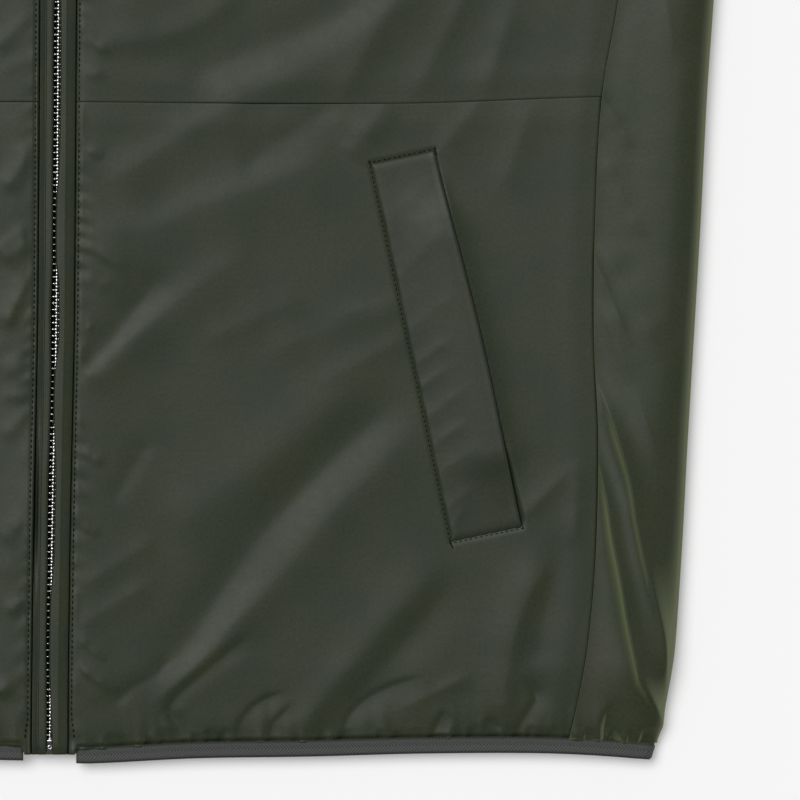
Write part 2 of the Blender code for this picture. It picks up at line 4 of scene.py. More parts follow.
import bpy
import numpy as np
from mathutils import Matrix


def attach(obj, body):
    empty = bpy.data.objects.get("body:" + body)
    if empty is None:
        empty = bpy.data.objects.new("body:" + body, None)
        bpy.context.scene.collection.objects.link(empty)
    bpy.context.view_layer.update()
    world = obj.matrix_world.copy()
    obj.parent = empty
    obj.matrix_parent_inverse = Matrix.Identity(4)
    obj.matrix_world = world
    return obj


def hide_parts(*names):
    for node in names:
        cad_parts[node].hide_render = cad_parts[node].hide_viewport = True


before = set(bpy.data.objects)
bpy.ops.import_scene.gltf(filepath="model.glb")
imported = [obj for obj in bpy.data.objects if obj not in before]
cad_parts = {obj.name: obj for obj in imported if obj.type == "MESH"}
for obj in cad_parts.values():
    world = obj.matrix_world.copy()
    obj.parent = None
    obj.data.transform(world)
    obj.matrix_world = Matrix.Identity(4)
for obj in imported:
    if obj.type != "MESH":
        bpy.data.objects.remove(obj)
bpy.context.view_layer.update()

# Back: one wide piece of nylon shell over thin wadding, cut to the armholes and the neck.
# It lies face down, so its outside is pressed flat on the surface and only draws in at its seams.
# Sizes here and below are millimetres: across from the middle, and up from the hem's lowest point.

MM = 0.001
GARMENT_LENGTH = 735.0
BACK_WALL = 4.0
SEAM_GAP = 0.06
BINDING_WIDTH = 7.0
NECK_WIDTH = 82.0
NECK_POINT = 672.0
BACK_NECK_DIP = 22.0
HEM_TUCK = 0.8

SideLine = namedtuple("SideLine", "height edge seam")
SIDE_LINES = [
    SideLine(10, 260.0, 221.9),
    SideLine(28, 264.0, 226.0),
    SideLine(52, 267.7, 230.2),
    SideLine(90, 270.8, 233.5),
    SideLine(140, 273.5, 234.6),
    SideLine(185, 276.2, 232.7),
    SideLine(240, 279.4, 233.4),
    SideLine(288, 281.8, 236.2),
    SideLine(330, 284.7, 243.2),
    SideLine(390, 288.5, 250.8),
    SideLine(433, 290.0, 256.0),
]

CrossLine = namedtuple("CrossLine", "width hem_low chest_seam")
CROSS_LINES = [
    CrossLine(0, 0.6, 286.0),
    CrossLine(15, 0.0, 286.0),
    CrossLine(60, 2.2, 285.6),
    CrossLine(110, 3.0, 285.3),
    CrossLine(160, 4.3, 285.6),
    CrossLine(215, 4.3, 287.6),
    CrossLine(262, 1.6, 289.0),
]

ArmholePoint = namedtuple("ArmholePoint", "width height")
UNDERARM = [ArmholePoint(286.2, 418), ArmholePoint(272, 421), ArmholePoint(256, 433)]
SHOULDER = ArmholePoint(222, 648)
FRONT_ARMHOLE = UNDERARM + [
    ArmholePoint(225, 475), ArmholePoint(207, 530), ArmholePoint(205, 590), SHOULDER,
]
BACK_ARMHOLE = UNDERARM + [
    ArmholePoint(231, 478), ArmholePoint(216, 530), ArmholePoint(212, 590), SHOULDER,
]
UNDERARM_SPANS = 2


def smooth_through(at, knots, values):
    """A smooth curve through the values, read at one or many places along the knots."""
    knots, values = np.asarray(knots, float), np.asarray(values, float)
    order = np.arange(len(knots))
    before, after = np.maximum(order - 1, 0), np.minimum(order + 1, len(knots) - 1)
    slopes = (values[after] - values[before]) / (knots[after] - knots[before])
    i = np.clip(np.searchsorted(knots, at, side="right") - 1, 0, len(knots) - 2)
    step = knots[i + 1] - knots[i]
    t = np.clip((at - knots[i]) / step, 0, 1)
    return ((1 + 2 * t) * (1 - t) ** 2 * values[i] + t * (1 - t) ** 2 * step * slopes[i]
            + t * t * (3 - 2 * t) * values[i + 1] + t * t * (t - 1) * step * slopes[i + 1])


def read_table(table, knot, name, at):
    knots, values = [[getattr(row, field) for row in table] for field in (knot, name)]
    return smooth_through(at, knots, values)


def ease(t):
    t = np.clip(t, 0, 1)
    return t * t * (3 - 2 * t)


def mix(a, b, t):
    return a + (b - a) * t


def side_edge(height):
    return read_table(SIDE_LINES, "height", "edge", height)


def side_seam(height):
    return read_table(SIDE_LINES, "height", "seam", height)


def hem_low(width):
    """Lower edge of the hem. The wearer's right lies a little higher beside the zip."""
    low = read_table(CROSS_LINES, "width", "hem_low", np.abs(width))
    return low + 1.3 * np.exp(-((width + 14) / 30) ** 2) * (width < 0)


def back_rise(width):
    """The back's hem lies higher than the front's behind the zip."""
    return 4.6 * np.exp(-(width / 26) ** 2)


def hem_seam(width):
    return hem_low(width) + BINDING_WIDTH


def chest_seam(width):
    return read_table(CROSS_LINES, "width", "chest_seam", np.abs(width))


def armhole_line(points, first, last, count):
    """Points along some spans of an armhole, as rows of (width, height)."""
    t = np.linspace(first, last, count)
    order = range(len(points))
    return np.stack([smooth_through(t, order, [p.width for p in points]),
                     smooth_through(t, order, [p.height for p in points])], axis=-1)


def graded(length, fine, coarse):
    """Places from 0 to 1, close together at both ends and evenly apart between."""
    steps = [fine]
    while steps[-1] < coarse:
        steps.append(min(steps[-1] * 1.35, coarse))
    ramp = np.cumsum(steps)
    count = max(int(round((length - 2 * ramp[-1]) / coarse)), 2)
    middle = np.linspace(ramp[-1], length - ramp[-1], count + 1)[1:-1]
    return np.concatenate([[0], ramp, middle, length - ramp[::-1], [length]]) / length


def grid_faces(index):
    corners = [index[:-1, :-1], index[:-1, 1:], index[1:, 1:], index[1:, :-1]]
    return np.stack(corners, axis=-1).reshape(-1, 4)


def cloth_shell(name, outer, inner, cut, material, skip=4):
    """A closed shell: a fine outside, a plainer inside with fewer points, and a rim between them."""
    rows, columns = outer.shape[:2]
    keep_rows = np.unique(np.append(np.arange(0, rows, skip), rows - 1))
    keep_columns = np.unique(np.append(np.arange(0, columns, skip), columns - 1))
    kept = np.ix_(keep_rows, keep_columns)
    top = np.arange(rows * columns).reshape(rows, columns)
    under_shape = (len(keep_rows), len(keep_columns))
    under = top.size + np.arange(np.prod(under_shape)).reshape(under_shape)
    faces = grid_faces(top).tolist() + grid_faces(under)[:, ::-1].tolist()
    for k, (a, b) in enumerate(zip(keep_columns[:-1], keep_columns[1:])):
        faces.append([*top[0, a:b + 1][::-1], under[0, k], under[0, k + 1]])
        faces.append([*top[-1, a:b + 1], under[-1, k + 1], under[-1, k]])
    for k, (a, b) in enumerate(zip(keep_rows[:-1], keep_rows[1:])):
        faces.append([*top[a:b + 1, -1][::-1], under[k, -1], under[k + 1, -1]])
        faces.append([*top[a:b + 1, 0], under[k + 1, 0], under[k, 0]])
    corner = outer[0, 0]
    lift = np.cross(outer[0, 1] - corner, outer[1, 0] - corner)
    if np.dot(lift, corner - inner[0, 0]) < 0:
        faces = [face[::-1] for face in faces]
    points = np.concatenate([outer.reshape(-1, 3), inner[kept].reshape(-1, 3)])
    points = (points + np.array([0, -GARMENT_LENGTH / 2, 0])) * MM
    mesh = bpy.data.meshes.new(name)
    mesh.from_pydata(points.tolist(), [], faces)
    places = np.concatenate([cut.reshape(-1, 2), cut[kept].reshape(-1, 2)]) * MM
    corners = np.empty(len(mesh.loops), dtype=np.int32)
    mesh.loops.foreach_get("vertex_index", corners)
    mesh.uv_layers.new(name="cut").data.foreach_set("uv", places[corners].ravel())
    rim_start = (rows - 1) * (columns - 1) + (len(keep_rows) - 1) * (len(keep_columns) - 1)
    mesh.polygons.foreach_set("use_smooth", np.arange(len(faces)) < rim_start)
    mesh.materials.append(material)
    made = bpy.data.objects.new(name, mesh)
    bpy.context.collection.objects.link(made)
    return made


def lay(piece, node):
    """Attaches a cloth piece to the garment and hides the solid it stands for. A narrow strip is
    declared wider.
    """
    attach(piece, "gilet")
    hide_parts(node)


def nylon_shell(name, colours, turned=None):
    """Fine plain-weave nylon with a soft gloss. Its tone drifts, and a painted sheen may pale it on steep
    folds.
    """
    made = bpy.data.materials.new(name)
    made.use_nodes = True
    nodes, links = made.node_tree.nodes, made.node_tree.links
    shader = nodes["Principled BSDF"]
    shader.inputs["Specular IOR Level"].default_value = 0.27
    place = nodes.new("ShaderNodeUVMap")
    place.uv_map = "cut"

    def noise(scale, detail):
        node = nodes.new("ShaderNodeTexNoise")
        node.inputs["Scale"].default_value = scale
        node.inputs["Detail"].default_value = detail
        links.new(place.outputs["UV"], node.inputs["Vector"])
        return node.outputs["Fac"]

    def ranged(value, low, high, from_low=0.3, from_high=0.7):
        node = nodes.new("ShaderNodeMapRange")
        limits = {"From Min": from_low, "From Max": from_high, "To Min": low, "To Max": high}
        for label, number in limits.items():
            node.inputs[label].default_value = number
        links.new(value, node.inputs["Value"])
        return node.outputs["Result"]

    shades = nodes.new("ShaderNodeValToRGB")
    shades.color_ramp.elements.new(0.5)
    for element, position, colour in zip(shades.color_ramp.elements, (0.36, 0.50, 0.64), colours):
        element.position = position
        element.color = (*colour, 1)
    links.new(noise(34, 5), shades.inputs["Fac"])
    grain = nodes.new("ShaderNodeHueSaturation")
    links.new(shades.outputs["Color"], grain.inputs["Color"])
    links.new(ranged(noise(750, 3), 0.84, 1.16), grain.inputs["Value"])
    links.new(grain.outputs["Color"], shader.inputs["Base Color"])
    # Painted sheen: the colour is mixed towards the given one as the surface turns from level to steep.
    if turned:
        surface = nodes.new("ShaderNodeNewGeometry")
        direction = nodes.new("ShaderNodeSeparateXYZ")
        links.new(surface.outputs["Normal"], direction.inputs["Vector"])
        upright = nodes.new("ShaderNodeMath")
        upright.operation = "ABSOLUTE"
        links.new(direction.outputs["Z"], upright.inputs[0])
        painted_sheen = nodes.new("ShaderNodeMixRGB")
        painted_sheen.inputs["Color2"].default_value = (*turned, 1)
        links.new(ranged(upright.outputs["Value"], 0, 1, 0.93, 0.70), painted_sheen.inputs["Fac"])
        links.new(grain.outputs["Color"], painted_sheen.inputs["Color1"])
        links.new(painted_sheen.outputs["Color"], shader.inputs["Base Color"])
    links.new(ranged(noise(190, 4), 0.46, 0.50), shader.inputs["Roughness"])

    threads = []
    for direction in ("X", "Y"):
        wave = nodes.new("ShaderNodeTexWave")
        wave.bands_direction = direction
        wave.inputs["Scale"].default_value = 800
        links.new(place.outputs["UV"], wave.inputs["Vector"])
        threads.append(wave.outputs["Fac"])
    weave = nodes.new("ShaderNodeMath")
    weave.operation = "MULTIPLY"
    links.new(threads[0], weave.inputs[0])
    links.new(threads[1], weave.inputs[1])
    normal = None
    for height, strength, distance in ((noise(85, 3), 0.07, 1.2), (noise(420, 4), 0.06, 0.4),
                                       (weave.outputs["Value"], 0.06, 0.1)):
        bump = nodes.new("ShaderNodeBump")
        bump.inputs["Strength"].default_value = strength
        bump.inputs["Distance"].default_value = distance * MM
        links.new(height, bump.inputs["Height"])
        if normal:
            links.new(normal, bump.inputs["Normal"])
        normal = bump.outputs["Normal"]
    links.new(normal, shader.inputs["Normal"])
    return made


OLIVE = (0.0210, 0.0272, 0.0134)
OLIVE_GREEN = (0.0190, 0.0266, 0.0136)
OLIVE_YELLOW = (0.0240, 0.0286, 0.0130)
shell_cloth = nylon_shell("olive_nylon", (OLIVE_GREEN, OLIVE, OLIVE_YELLOW))


# A crease is a soft ridge from one point to another. It bows to its left, and one flank may be longer.
Crease = namedtuple("Crease", "x0 h0 x1 h1 bow left right lift")


def crease_relief(creases, width, height, crest=1.6):
    """How far the creases raise the cloth, in millimetres. A lower crest value makes a sharper crest."""
    total = np.zeros_like(width)
    for k, c in enumerate(creases):
        dx, dh = c.x1 - c.x0, c.h1 - c.h0
        length = math.hypot(dx, dh)
        along = ((width - c.x0) * dx + (height - c.h0) * dh) / length ** 2
        away = ((height - c.h0) * dx - (width - c.x0) * dh) / length - c.bow * 4 * along * (1 - along)
        slope = np.where(away > 0, away / c.left, away / c.right)
        taper = ease(along / 0.28) * ease((1 - along) / 0.28)
        uneven = 1 + 0.16 * np.sin(9 * along + 2.3 * k) + 0.10 * np.sin(23 * along + 1.1 * k)
        total = total + c.lift * taper * uneven * np.exp(-np.abs(slope) ** crest)
    return total


BACK_CREASES = [
    Crease(-190, 60, -60, 150, 6, 14, 18, -0.9),
    Crease(40, 40, 170, 190, -8, 16, 12, -1.0),
    Crease(-150, 260, 30, 330, 10, 18, 14, -0.8),
    Crease(60, 300, 200, 420, -6, 15, 18, -0.9),
    Crease(-170, 430, -40, 560, 8, 16, 20, -0.8),
    Crease(20, 470, 150, 600, -8, 18, 15, -0.8),
]
BACK_SIDE_ROWS, BACK_ARMHOLE_ROWS, BACK_SHOULDER_ROWS, BACK_COLUMNS = 80, 42, 8, 90


def back_plan():
    hem = hem_seam(side_seam(0)) + SEAM_GAP
    seam = np.linspace(hem, UNDERARM[-1].height, BACK_SIDE_ROWS)
    edge = np.stack([side_seam(seam) - SEAM_GAP / 2, seam], axis=-1)
    armhole = armhole_line(BACK_ARMHOLE, UNDERARM_SPANS, len(BACK_ARMHOLE) - 1, BACK_ARMHOLE_ROWS)[1:]
    t = np.linspace(0, 1, BACK_SHOULDER_ROWS)[1:, None]
    shoulder = mix(np.array(SHOULDER), np.array([NECK_WIDTH, NECK_POINT]), t)
    edge = np.concatenate([edge, armhole, shoulder])
    share = ease(np.arange(len(edge)) / (len(edge) - 1))[:, None] ** 2
    across = np.linspace(-1, 1, BACK_COLUMNS)[None, :]
    width = across * edge[:, :1]
    height = edge[:, 1:] - BACK_NECK_DIP * share * (1 - across ** 2)
    foot = hem_seam(width[0]) + back_rise(width[0]) - HEM_TUCK
    height += (foot - height[0]) * ease(1 - np.arange(len(edge))[:, None] / 20)
    return np.stack([width, height], axis=-1)


plan = back_plan()
from_side = (1 - np.abs(np.linspace(-1, 1, BACK_COLUMNS)))[None, :] * plan[:, -1:, 0]
from_hem = plan[..., 1] - plan[:1, :, 1]
drawn_in = 1.2 * np.exp(-(from_side / 3.0) ** 2) + 0.7 * np.exp(-(from_hem / 2.5) ** 2)
under = drawn_in - np.minimum(crease_relief(BACK_CREASES, plan[..., 0], plan[..., 1]), 0)
outside = np.concatenate([plan, under[..., None]], axis=-1)
inside = np.concatenate([plan, np.full_like(under, BACK_WALL - 0.2)[..., None]], axis=-1)
back = cloth_shell("back_panel", outside, inside, plan, shell_cloth)
lay(back, "back")

# Side panels: a strip of the same nylon down each side, folded round so that half lies on the front.
# Its colour is painted paler and yellower on steep folds: a painted sheen. The wadding keeps its edge
# round.
# Slack in the cloth runs down it in long sharp ridges.

FRONT_WALL, HEM_WALL = 4.0, 2.6
LAY_GAP = 0.6
SIDE_HEIGHT, HEM_HEIGHT, HEM_RISE = 12.0, 7.2, 45.0
FRONT_EDGE = 8.1
ZIP_LIFT, ZIP_LIFT_REACH = 1.2, 45.0
SIDE_LIFT, SIDE_LIFT_REACH = 1.0, 60.0
SIDE_SHELL = 1.8
FOLD_REACH = 14.0
SIDE_CREASES = [
    Crease(262.0, 124, 231.0, 207, -2, 5.0, 9.0, 0.9),
    Crease(249.5, 178, 229.0, 228, 0, 5.0, 3.0, 0.7),
    Crease(264.0, 172, 232.0, 230, -1, 6.0, 9.0, 0.7),
    Crease(254.7, 225, 234.0, 268, 0, 4.5, 5.0, 0.4),
    Crease(251.3, 264, 230.0, 300, 1, 5.0, 4.0, 0.6),
    Crease(268.0, 300, 252.0, 372, -2, 6.0, 9.0, 0.7),
    Crease(276.0, 352, 258.0, 412, 1, 5.0, 7.0, 0.8),
]
SideRidge = namedtuple("SideRidge", "heights widths left right lift sharp")
SIDE_RIDGES = [
    SideRidge((20, 36, 54, 71, 88, 105, 123, 155, 175),
              (264.8, 263.0, 261.7, 258.3, 254.4, 250.9, 247.9, 238.0, 230.8), 5.0, 7.5, 1.9, 1.0),
    SideRidge((-25, 16, 28, 36, 45, 62, 80, 97, 114, 150),
              (271.8, 261.1, 256.1, 252.7, 250.5, 247.0, 244.0, 240.6, 238.0, 229.8), 5.0, 7.0, 2.0, 1.1),
]
SIDE_GREEN = (0.0195, 0.0275, 0.0118)
SIDE_OLIVE = (0.0225, 0.0290, 0.0128)
SIDE_BROWN = (0.0258, 0.0297, 0.0140)
# Painted sheen: where the surface turns steep, the side cloth's colour is mixed towards this paler
# yellow-green.
SIDE_PAINTED_SHEEN = (0.102, 0.118, 0.054)
side_cloth = nylon_shell("olive_nylon_side_painted_sheen", (SIDE_GREEN, SIDE_OLIVE, SIDE_BROWN), SIDE_PAINTED_SHEEN)


def ridge_relief(ridges, width, height):
    """Long ridges down the panel: a broad swell with a sharp crest, steeper away from the seam."""
    total = np.zeros_like(width)
    for r in ridges:
        away = width - smooth_through(height, r.heights, r.widths)
        along = (height - r.heights[0]) / (r.heights[-1] - r.heights[0])
        fade = ease(along / 0.2) * ease((1 - along) / 0.25)
        broad = np.exp(-(np.abs(away) / np.where(away < 0, r.left, r.right)) ** 1.5)
        crest = np.exp(-(np.abs(away) / np.where(away < 0, 1.3, 4.0)) ** 1.3)
        total = total + fade * (r.lift * broad + r.sharp * crest)
    return total


ZipPlace = namedtuple("ZipPlace", "height middle")
ZIP_LINE = [
    ZipPlace(0, -2.5),
    ZipPlace(60, -1.95),
    ZipPlace(114, -1.15),
    ZipPlace(160, -0.15),
    ZipPlace(192, 0.4),
    ZipPlace(252, 0.85),
    ZipPlace(308, 1.2),
    ZipPlace(400, 1.9),
    ZipPlace(660, 4.68),
]


def zip_middle(height):
    """The zip leans as the garment lies, and wavers a little along its length."""
    return read_table(ZIP_LINE, "height", "middle", height)


def wall_at(height):
    return mix(HEM_WALL, FRONT_WALL, ease(height / HEM_RISE))


def front_level(width, height):
    """Height of the front's outside where it is smooth. It lies on the back, and rises at zip and side."""
    from_zip = np.abs(width - zip_middle(height)) - FRONT_EDGE
    from_seam = side_seam(height) - np.abs(width)
    over_zip = ZIP_LIFT * (1 - ease(from_zip / ZIP_LIFT_REACH))
    over_side = SIDE_LIFT * (1 - ease(from_seam / SIDE_LIFT_REACH)) * ease(height / HEM_RISE)
    return BACK_WALL + LAY_GAP + wall_at(height) + np.maximum(over_zip, over_side)


def seam_dip(distance, depth=0.22, reach=0.32):
    """A sewn edge turns down into its seam, and the wadding swells behind it."""
    return -depth * np.exp(-(distance / reach) ** 2) + 0.2 * np.exp(-((distance - 9) / 6) ** 2)


def hem_gathers(width, height, side):
    """Small even ripples where the elastic draws the cloth in, dying out above the hem."""
    above = height - hem_seam(width)
    ripple = (np.sin(width / 1.05 + 2.1 * np.sin(width / 9.0 + side)) * 0.6
              + np.sin(width / 1.9 + 1.7 * np.sin(width / 17.0) + side))
    reach = 4.2 + 2.2 * np.sin(width / 7.3 + 2 * side)
    return 0.42 * ripple * np.exp(-np.maximum(above, 0) / reach)


HemFold = namedtuple("HemFold", "width lean bend reach half_width depth")
SIDE_HEM_FOLDS = [
    HemFold(229.5, 1.0, 1.5, 6, 0.8, 0.6),
    HemFold(237.2, 5.5, 2.2, 20, 1.2, 1.4),
    HemFold(240.5, 1.0, 1.5, 6, 0.8, 0.6),
    HemFold(248.0, 1.0, 1.5, 7, 0.9, 0.7),
    HemFold(254.0, 0.8, 1.2, 8, 1.0, 1.0),
]


def fold_at_hem(folds, width, height):
    """Narrow tucks that rise from the hem seam, each leaning, curving and ending where it will."""
    above = np.maximum(height - hem_seam(width), 0)
    total = np.zeros_like(width)
    for f in folds:
        t = above / f.reach
        middle = f.width + f.lean * np.minimum(t, 1.2) ** f.bend
        away = (width - middle) / (f.half_width * (1.1 + 0.6 * t))
        slope = np.where(away < 0, away, away / 3.5)
        total = total - 1.7 * f.depth * np.exp(-np.abs(slope) ** 1.4) * (1 - ease(t))
        total = total + 0.3 * f.depth * np.exp(-((away + 2.4) / 1.8) ** 2) * (1 - ease(t * 1.1))
    return total


def underarm_height(width):
    line = armhole_line(FRONT_ARMHOLE, 0, UNDERARM_SPANS, 60)[::-1]
    return np.interp(width, line[:, 0], line[:, 1])


def side_panel(side, name, across, rows, creases, ridges):
    """The panel's section runs from the front seam, round the fold, to the back seam."""
    flat_columns, arc_columns = across
    front_t = graded(36, 0.35, 36 / flat_columns)
    near_turns = np.arcsin(np.linspace(0, 0.97, arc_columns))
    arc_t = np.concatenate([near_turns[1:], np.linspace(near_turns[-1], math.pi, 21)[1:]])
    back_t = np.linspace(0, 1, max(flat_columns // 2, 8))[1:]
    up = graded(400, 0.5, 400 / rows)[:, None]
    columns = len(front_t) + len(arc_t) + len(back_t)
    height = np.repeat(mix(12.0, UNDERARM[0].height, up), columns, axis=1)
    for _ in range(5):
        full = mix(HEM_HEIGHT, SIDE_HEIGHT, ease(height / HEM_RISE))
        radius = full / 2
        seam, turn = side_seam(height) + SEAM_GAP / 2, side_edge(height) - FOLD_REACH
        arc = np.concatenate([np.zeros(len(front_t)), arc_t, np.full(len(back_t), math.pi)])[None, :]
        share = np.concatenate([front_t, np.ones(len(arc_t)), 1 - back_t])[None, :]
        base_x = mix(seam, turn, share)
        high = underarm_height(np.minimum(base_x, UNDERARM[0].width))
        height = mix(hem_seam(base_x) - HEM_TUCK, high, up)
    front = np.arange(columns)[None, :] < len(front_t)
    on_front = mix(front_level(seam, height), full, ease(share))
    level = np.where(front, on_front, radius + radius * np.cos(arc))
    width = base_x + FOLD_REACH * np.sin(arc)
    relief = crease_relief(creases, width, height, 1.2) + hem_gathers(width, height, side)
    relief = relief + ridge_relief(ridges, width, height) + fold_at_hem(SIDE_HEM_FOLDS, width, height)
    relief = relief + seam_dip(width - seam, 0) + seam_dip(height - hem_seam(width), 0.5, 0.9)
    relief = relief * np.clip(np.cos(arc * 0.75), 0, 1)
    lean = np.broadcast_to(np.sin(arc), height.shape)
    rise = np.broadcast_to(np.cos(arc), height.shape)
    top = np.maximum(level + relief * rise, 0)
    outer = np.stack([side * (width + relief * lean), height, top], axis=-1)
    thin = np.stack([side * SIDE_SHELL * lean, np.zeros_like(height), SIDE_SHELL * rise], axis=-1)
    step = np.hypot(np.diff(width, axis=1), np.diff(level, axis=1))
    along = np.concatenate([np.zeros((len(up), 1)), np.cumsum(step, axis=1)], axis=1)
    cut = np.stack([along + 300 * side, height], axis=-1)
    return cloth_shell(name, outer, outer - thin, cut, side_cloth), cut


left_side, cut = side_panel(1, "side_panel_wearer_left", (64, 26), 380, SIDE_CREASES, SIDE_RIDGES)
lay(left_side, "side_panel_left")
other_side = [c._replace(h0=c.h0 * 1.08 + 6, h1=c.h1 * 1.08 + 9, lift=c.lift * 0.8) for c in SIDE_CREASES]
other_ridges = [r._replace(heights=tuple(h * 1.1 + 8 for h in r.heights), sharp=r.sharp * 0.8)
                for r in SIDE_RIDGES]
right_side, cut = side_panel(-1, "side_panel_wearer_right", (30, 16), 240, other_side, other_ridges)
lay(right_side, "side_panel_right")

# Lower fronts: padded nylon panels from the hem to the chest seam, topstitched along the zip.
# Slack lies in long diagonal creases towards the pocket, and the hem elastic gathers the foot.

FRONT_SHELL = 2.2
TONGUE_HEIGHT, TONGUE_WIDTH = 3.9, 2.8
ZIP_STITCH = 1.35
POCKET_MIDDLE = np.array([168.8, 180.8])
POCKET_LONG, POCKET_WIDE, POCKET_TILT = 166.0, 29.5, math.radians(12.0)
STITCH_OUT = 1.1
CHEST_SEAM_DEPTH = 0.1

# A fold follows a traced line. Its flanks may differ, and a flank may widen from one end to the other.
Fold = namedtuple("Fold", "path left right lift")
FRONT_FOLDS = [
    Fold(((33, 20), (43, 26), (54, 35), (67, 48), (80, 62.5), (94, 77), (110, 95.5), (123, 111),
          (152, 140), (168, 158)), (5, 11), (6, 16), 0.95),
    Fold(((40, 36), (54, 49), (69, 71), (89, 99), (106, 118.5), (123, 135.6), (140, 151), (158, 167)),
         (10, 12), (8, 9), -1.2),
    Fold(((52.3, 2), (53.1, 16.4), (49.2, 22.5), (51.4, 28.1), (62.6, 38), (75.6, 48.8), (88, 58)),
         (2.2, 2.2), (3, 5), -0.8),
    Fold(((24, 24), (27.2, 27.6), (34.6, 34.1), (45.4, 40.6), (52, 49)), (4, 4), (3, 3), -0.45),
    Fold(((46, 96), (58, 107), (82, 124), (97, 136), (110, 147), (124, 160), (150, 176)),
         (14, 14), (13, 13), 0.75),
    Fold(((8, 160), (14, 166.5), (30, 181), (42, 190), (58, 203), (74, 214), (90, 224)),
         (3.5, 10), (8, 16), 0.85),
    Fold(((12, 168), (24, 182), (33, 195), (43, 207), (50, 215)), (6, 9), (4, 8), -0.85),
    Fold(((10, 226), (22, 229), (44, 231), (60, 239), (78, 245), (95, 251), (110, 258), (126, 274)),
         (9, 9), (20, 20), 0.95),
    Fold(((20, 250), (34, 257), (47.5, 265.8), (64.6, 276.5), (76, 283), (90, 292)),
         (8, 8), (12, 12), 0.8),
    Fold(((78, 255), (100, 271), (121, 284.7), (128, 290)), (7, 7), (6, 6), -0.4),
    Fold(((125.3, 260.9), (134, 271.7), (142.6, 283.4), (147, 292)), (6, 6), (7, 7), 0.55),
    Fold(((101, 5), (105.6, 11.5), (111.7, 23.2), (118.1, 31), (131.1, 46.1), (146.2, 64.7),
          (158.3, 77.6), (170, 92.3)), (7, 12), (6, 9), 0.85),
    Fold(((114, 1), (118, 14), (125, 22), (133, 31), (145, 45), (157, 59), (168, 73), (178, 87)),
         (6, 7), (8, 12), -0.75),
    Fold(((24, 112), (33, 127), (42, 142)), (5, 5), (4, 4), -0.35),
    Fold(((78, 1), (78.6, 11.2), (79.9, 17.3), (85.1, 24.2), (92.9, 28.9), (101.5, 30.7)),
         (1.4, 1.4), (5, 5), -0.55),
    Fold(((92.5, 1), (92.9, 11.2), (94.2, 16.8), (99.8, 22.9), (104, 27)), (1.4, 1.4), (5, 5), -0.5),
    Fold(((125, 1), (125.3, 11.2), (126.1, 19), (130.9, 25.1), (139.1, 30.7), (149.9, 35), (161.1, 37.6)),
         (1.6, 1.6), (6, 6), -0.55),
    Fold(((161, 2), (162.9, 11.7), (165.5, 18.1), (169.3, 24.6)), (1.3, 1.3), (4.5, 4.5), -0.7),
    Fold(((183, 2), (184.9, 11.2), (187, 17.3), (189.2, 21.6)), (1.3, 1.3), (4.5, 4.5), -0.7),
    Fold(((198.5, 0), (199.1, 10.4), (200, 15.6), (204.3, 22.5), (207.4, 28.5), (204.8, 34.1),
          (200.9, 38)), (1.5, 1.5), (4.5, 4.5), -0.9),
    Fold(((194.4, 14), (194.4, 32), (196.6, 47.1), (199.2, 60), (203.9, 71.7), (211.7, 86),
          (217.3, 96.8)), (10, 10), (5, 5), 1.0),
    Fold(((207, 40), (211, 60), (214, 80), (218, 100)), (6, 6), (8, 8), -0.5),
]
FRONT_CREASES = [
    Crease(163, 260, 189, 293, 0, 5, 8, 0.45),
    Crease(190, 240, 209, 292, 0, 7, 7, 0.4),
    Crease(58, 180, 112, 204, 0, 8, 8, 0.4),
    Crease(84, 175, 160, 198, 2, 8, 8, 0.35),
    Crease(110, 162, 162, 190, 0, 5.5, 6, 0.32),
    Crease(116, 192, 160, 203, 0, 5, 5, 0.22),
    Crease(146, 22, 183, 40, 0, 3.5, 4.5, 0.4),
    Crease(8, 27, 60, 46, 0, 11, 3.6, 0.3),
    Crease(8, 74, 46, 99, 0, 4.5, 5.5, 0.35),
    Crease(6, 57, 46, 81, 0, 4.5, 6.5, 0.4),
    Crease(196, 102, 225, 131, -1, 4.5, 4.0, 0.4),
    Crease(224, 92, 226, 134, 0, 4, 4, 0.3),
    Crease(2, 232, 34, 211, 0, 5, 2.4, 0.45),
    Crease(4, 222, 26, 203, -1, 4, 3, 0.4),
    Crease(4, 138.5, 23, 129, 0, 3, 2, 0.35),
    Crease(5, 46, 25, 31, 0, 3, 1.8, 0.5),
    Crease(5, 58, 23, 44, 0, 3, 1.8, 0.4),
    Crease(5, 268, 22, 262, 0, 2.5, 1.8, 0.4),
    Crease(5, 105, 20, 99, 0, 3, 2, 0.35),
    Crease(5, 184, 18, 190, 0, 2.5, 2, 0.35),
]
HEM_FOLDS = [
    HemFold(22.5, 1.5, 1.5, 7, 0.9, 0.7),
    HemFold(29.0, -2.0, 1.5, 6, 0.8, 0.5),
    HemFold(39.4, 0.5, 1.5, 4, 0.7, 0.6),
    HemFold(46.1, -0.5, 1.5, 8, 0.9, 0.9),
    HemFold(59.5, 0.5, 1.5, 5, 0.8, 0.7),
    HemFold(65.5, 1.0, 1.5, 7, 0.9, 1.0),
    HemFold(71.0, 3.0, 1.5, 7, 0.9, 0.8),
    HemFold(123.0, 2.0, 1.5, 5, 0.8, 0.6),
    HemFold(139.5, 1.0, 1.5, 5, 0.8, 0.6),
    HemFold(147.0, 1.0, 1.5, 4, 0.8, 0.5),
    HemFold(154.0, 0.5, 1.5, 5, 0.9, 0.5),
    HemFold(172.0, 1.0, 1.5, 5, 0.8, 0.6),
    HemFold(179.0, 1.5, 1.5, 6, 0.8, 0.7),
    HemFold(194.5, 0.5, 1.5, 6, 0.8, 0.7),
    HemFold(204.2, 1.5, 1.5, 6, 0.8, 0.7),
    HemFold(208.5, 1.0, 1.5, 5, 0.8, 0.5),
    HemFold(213.5, 1.5, 1.5, 6, 0.9, 0.6),
]


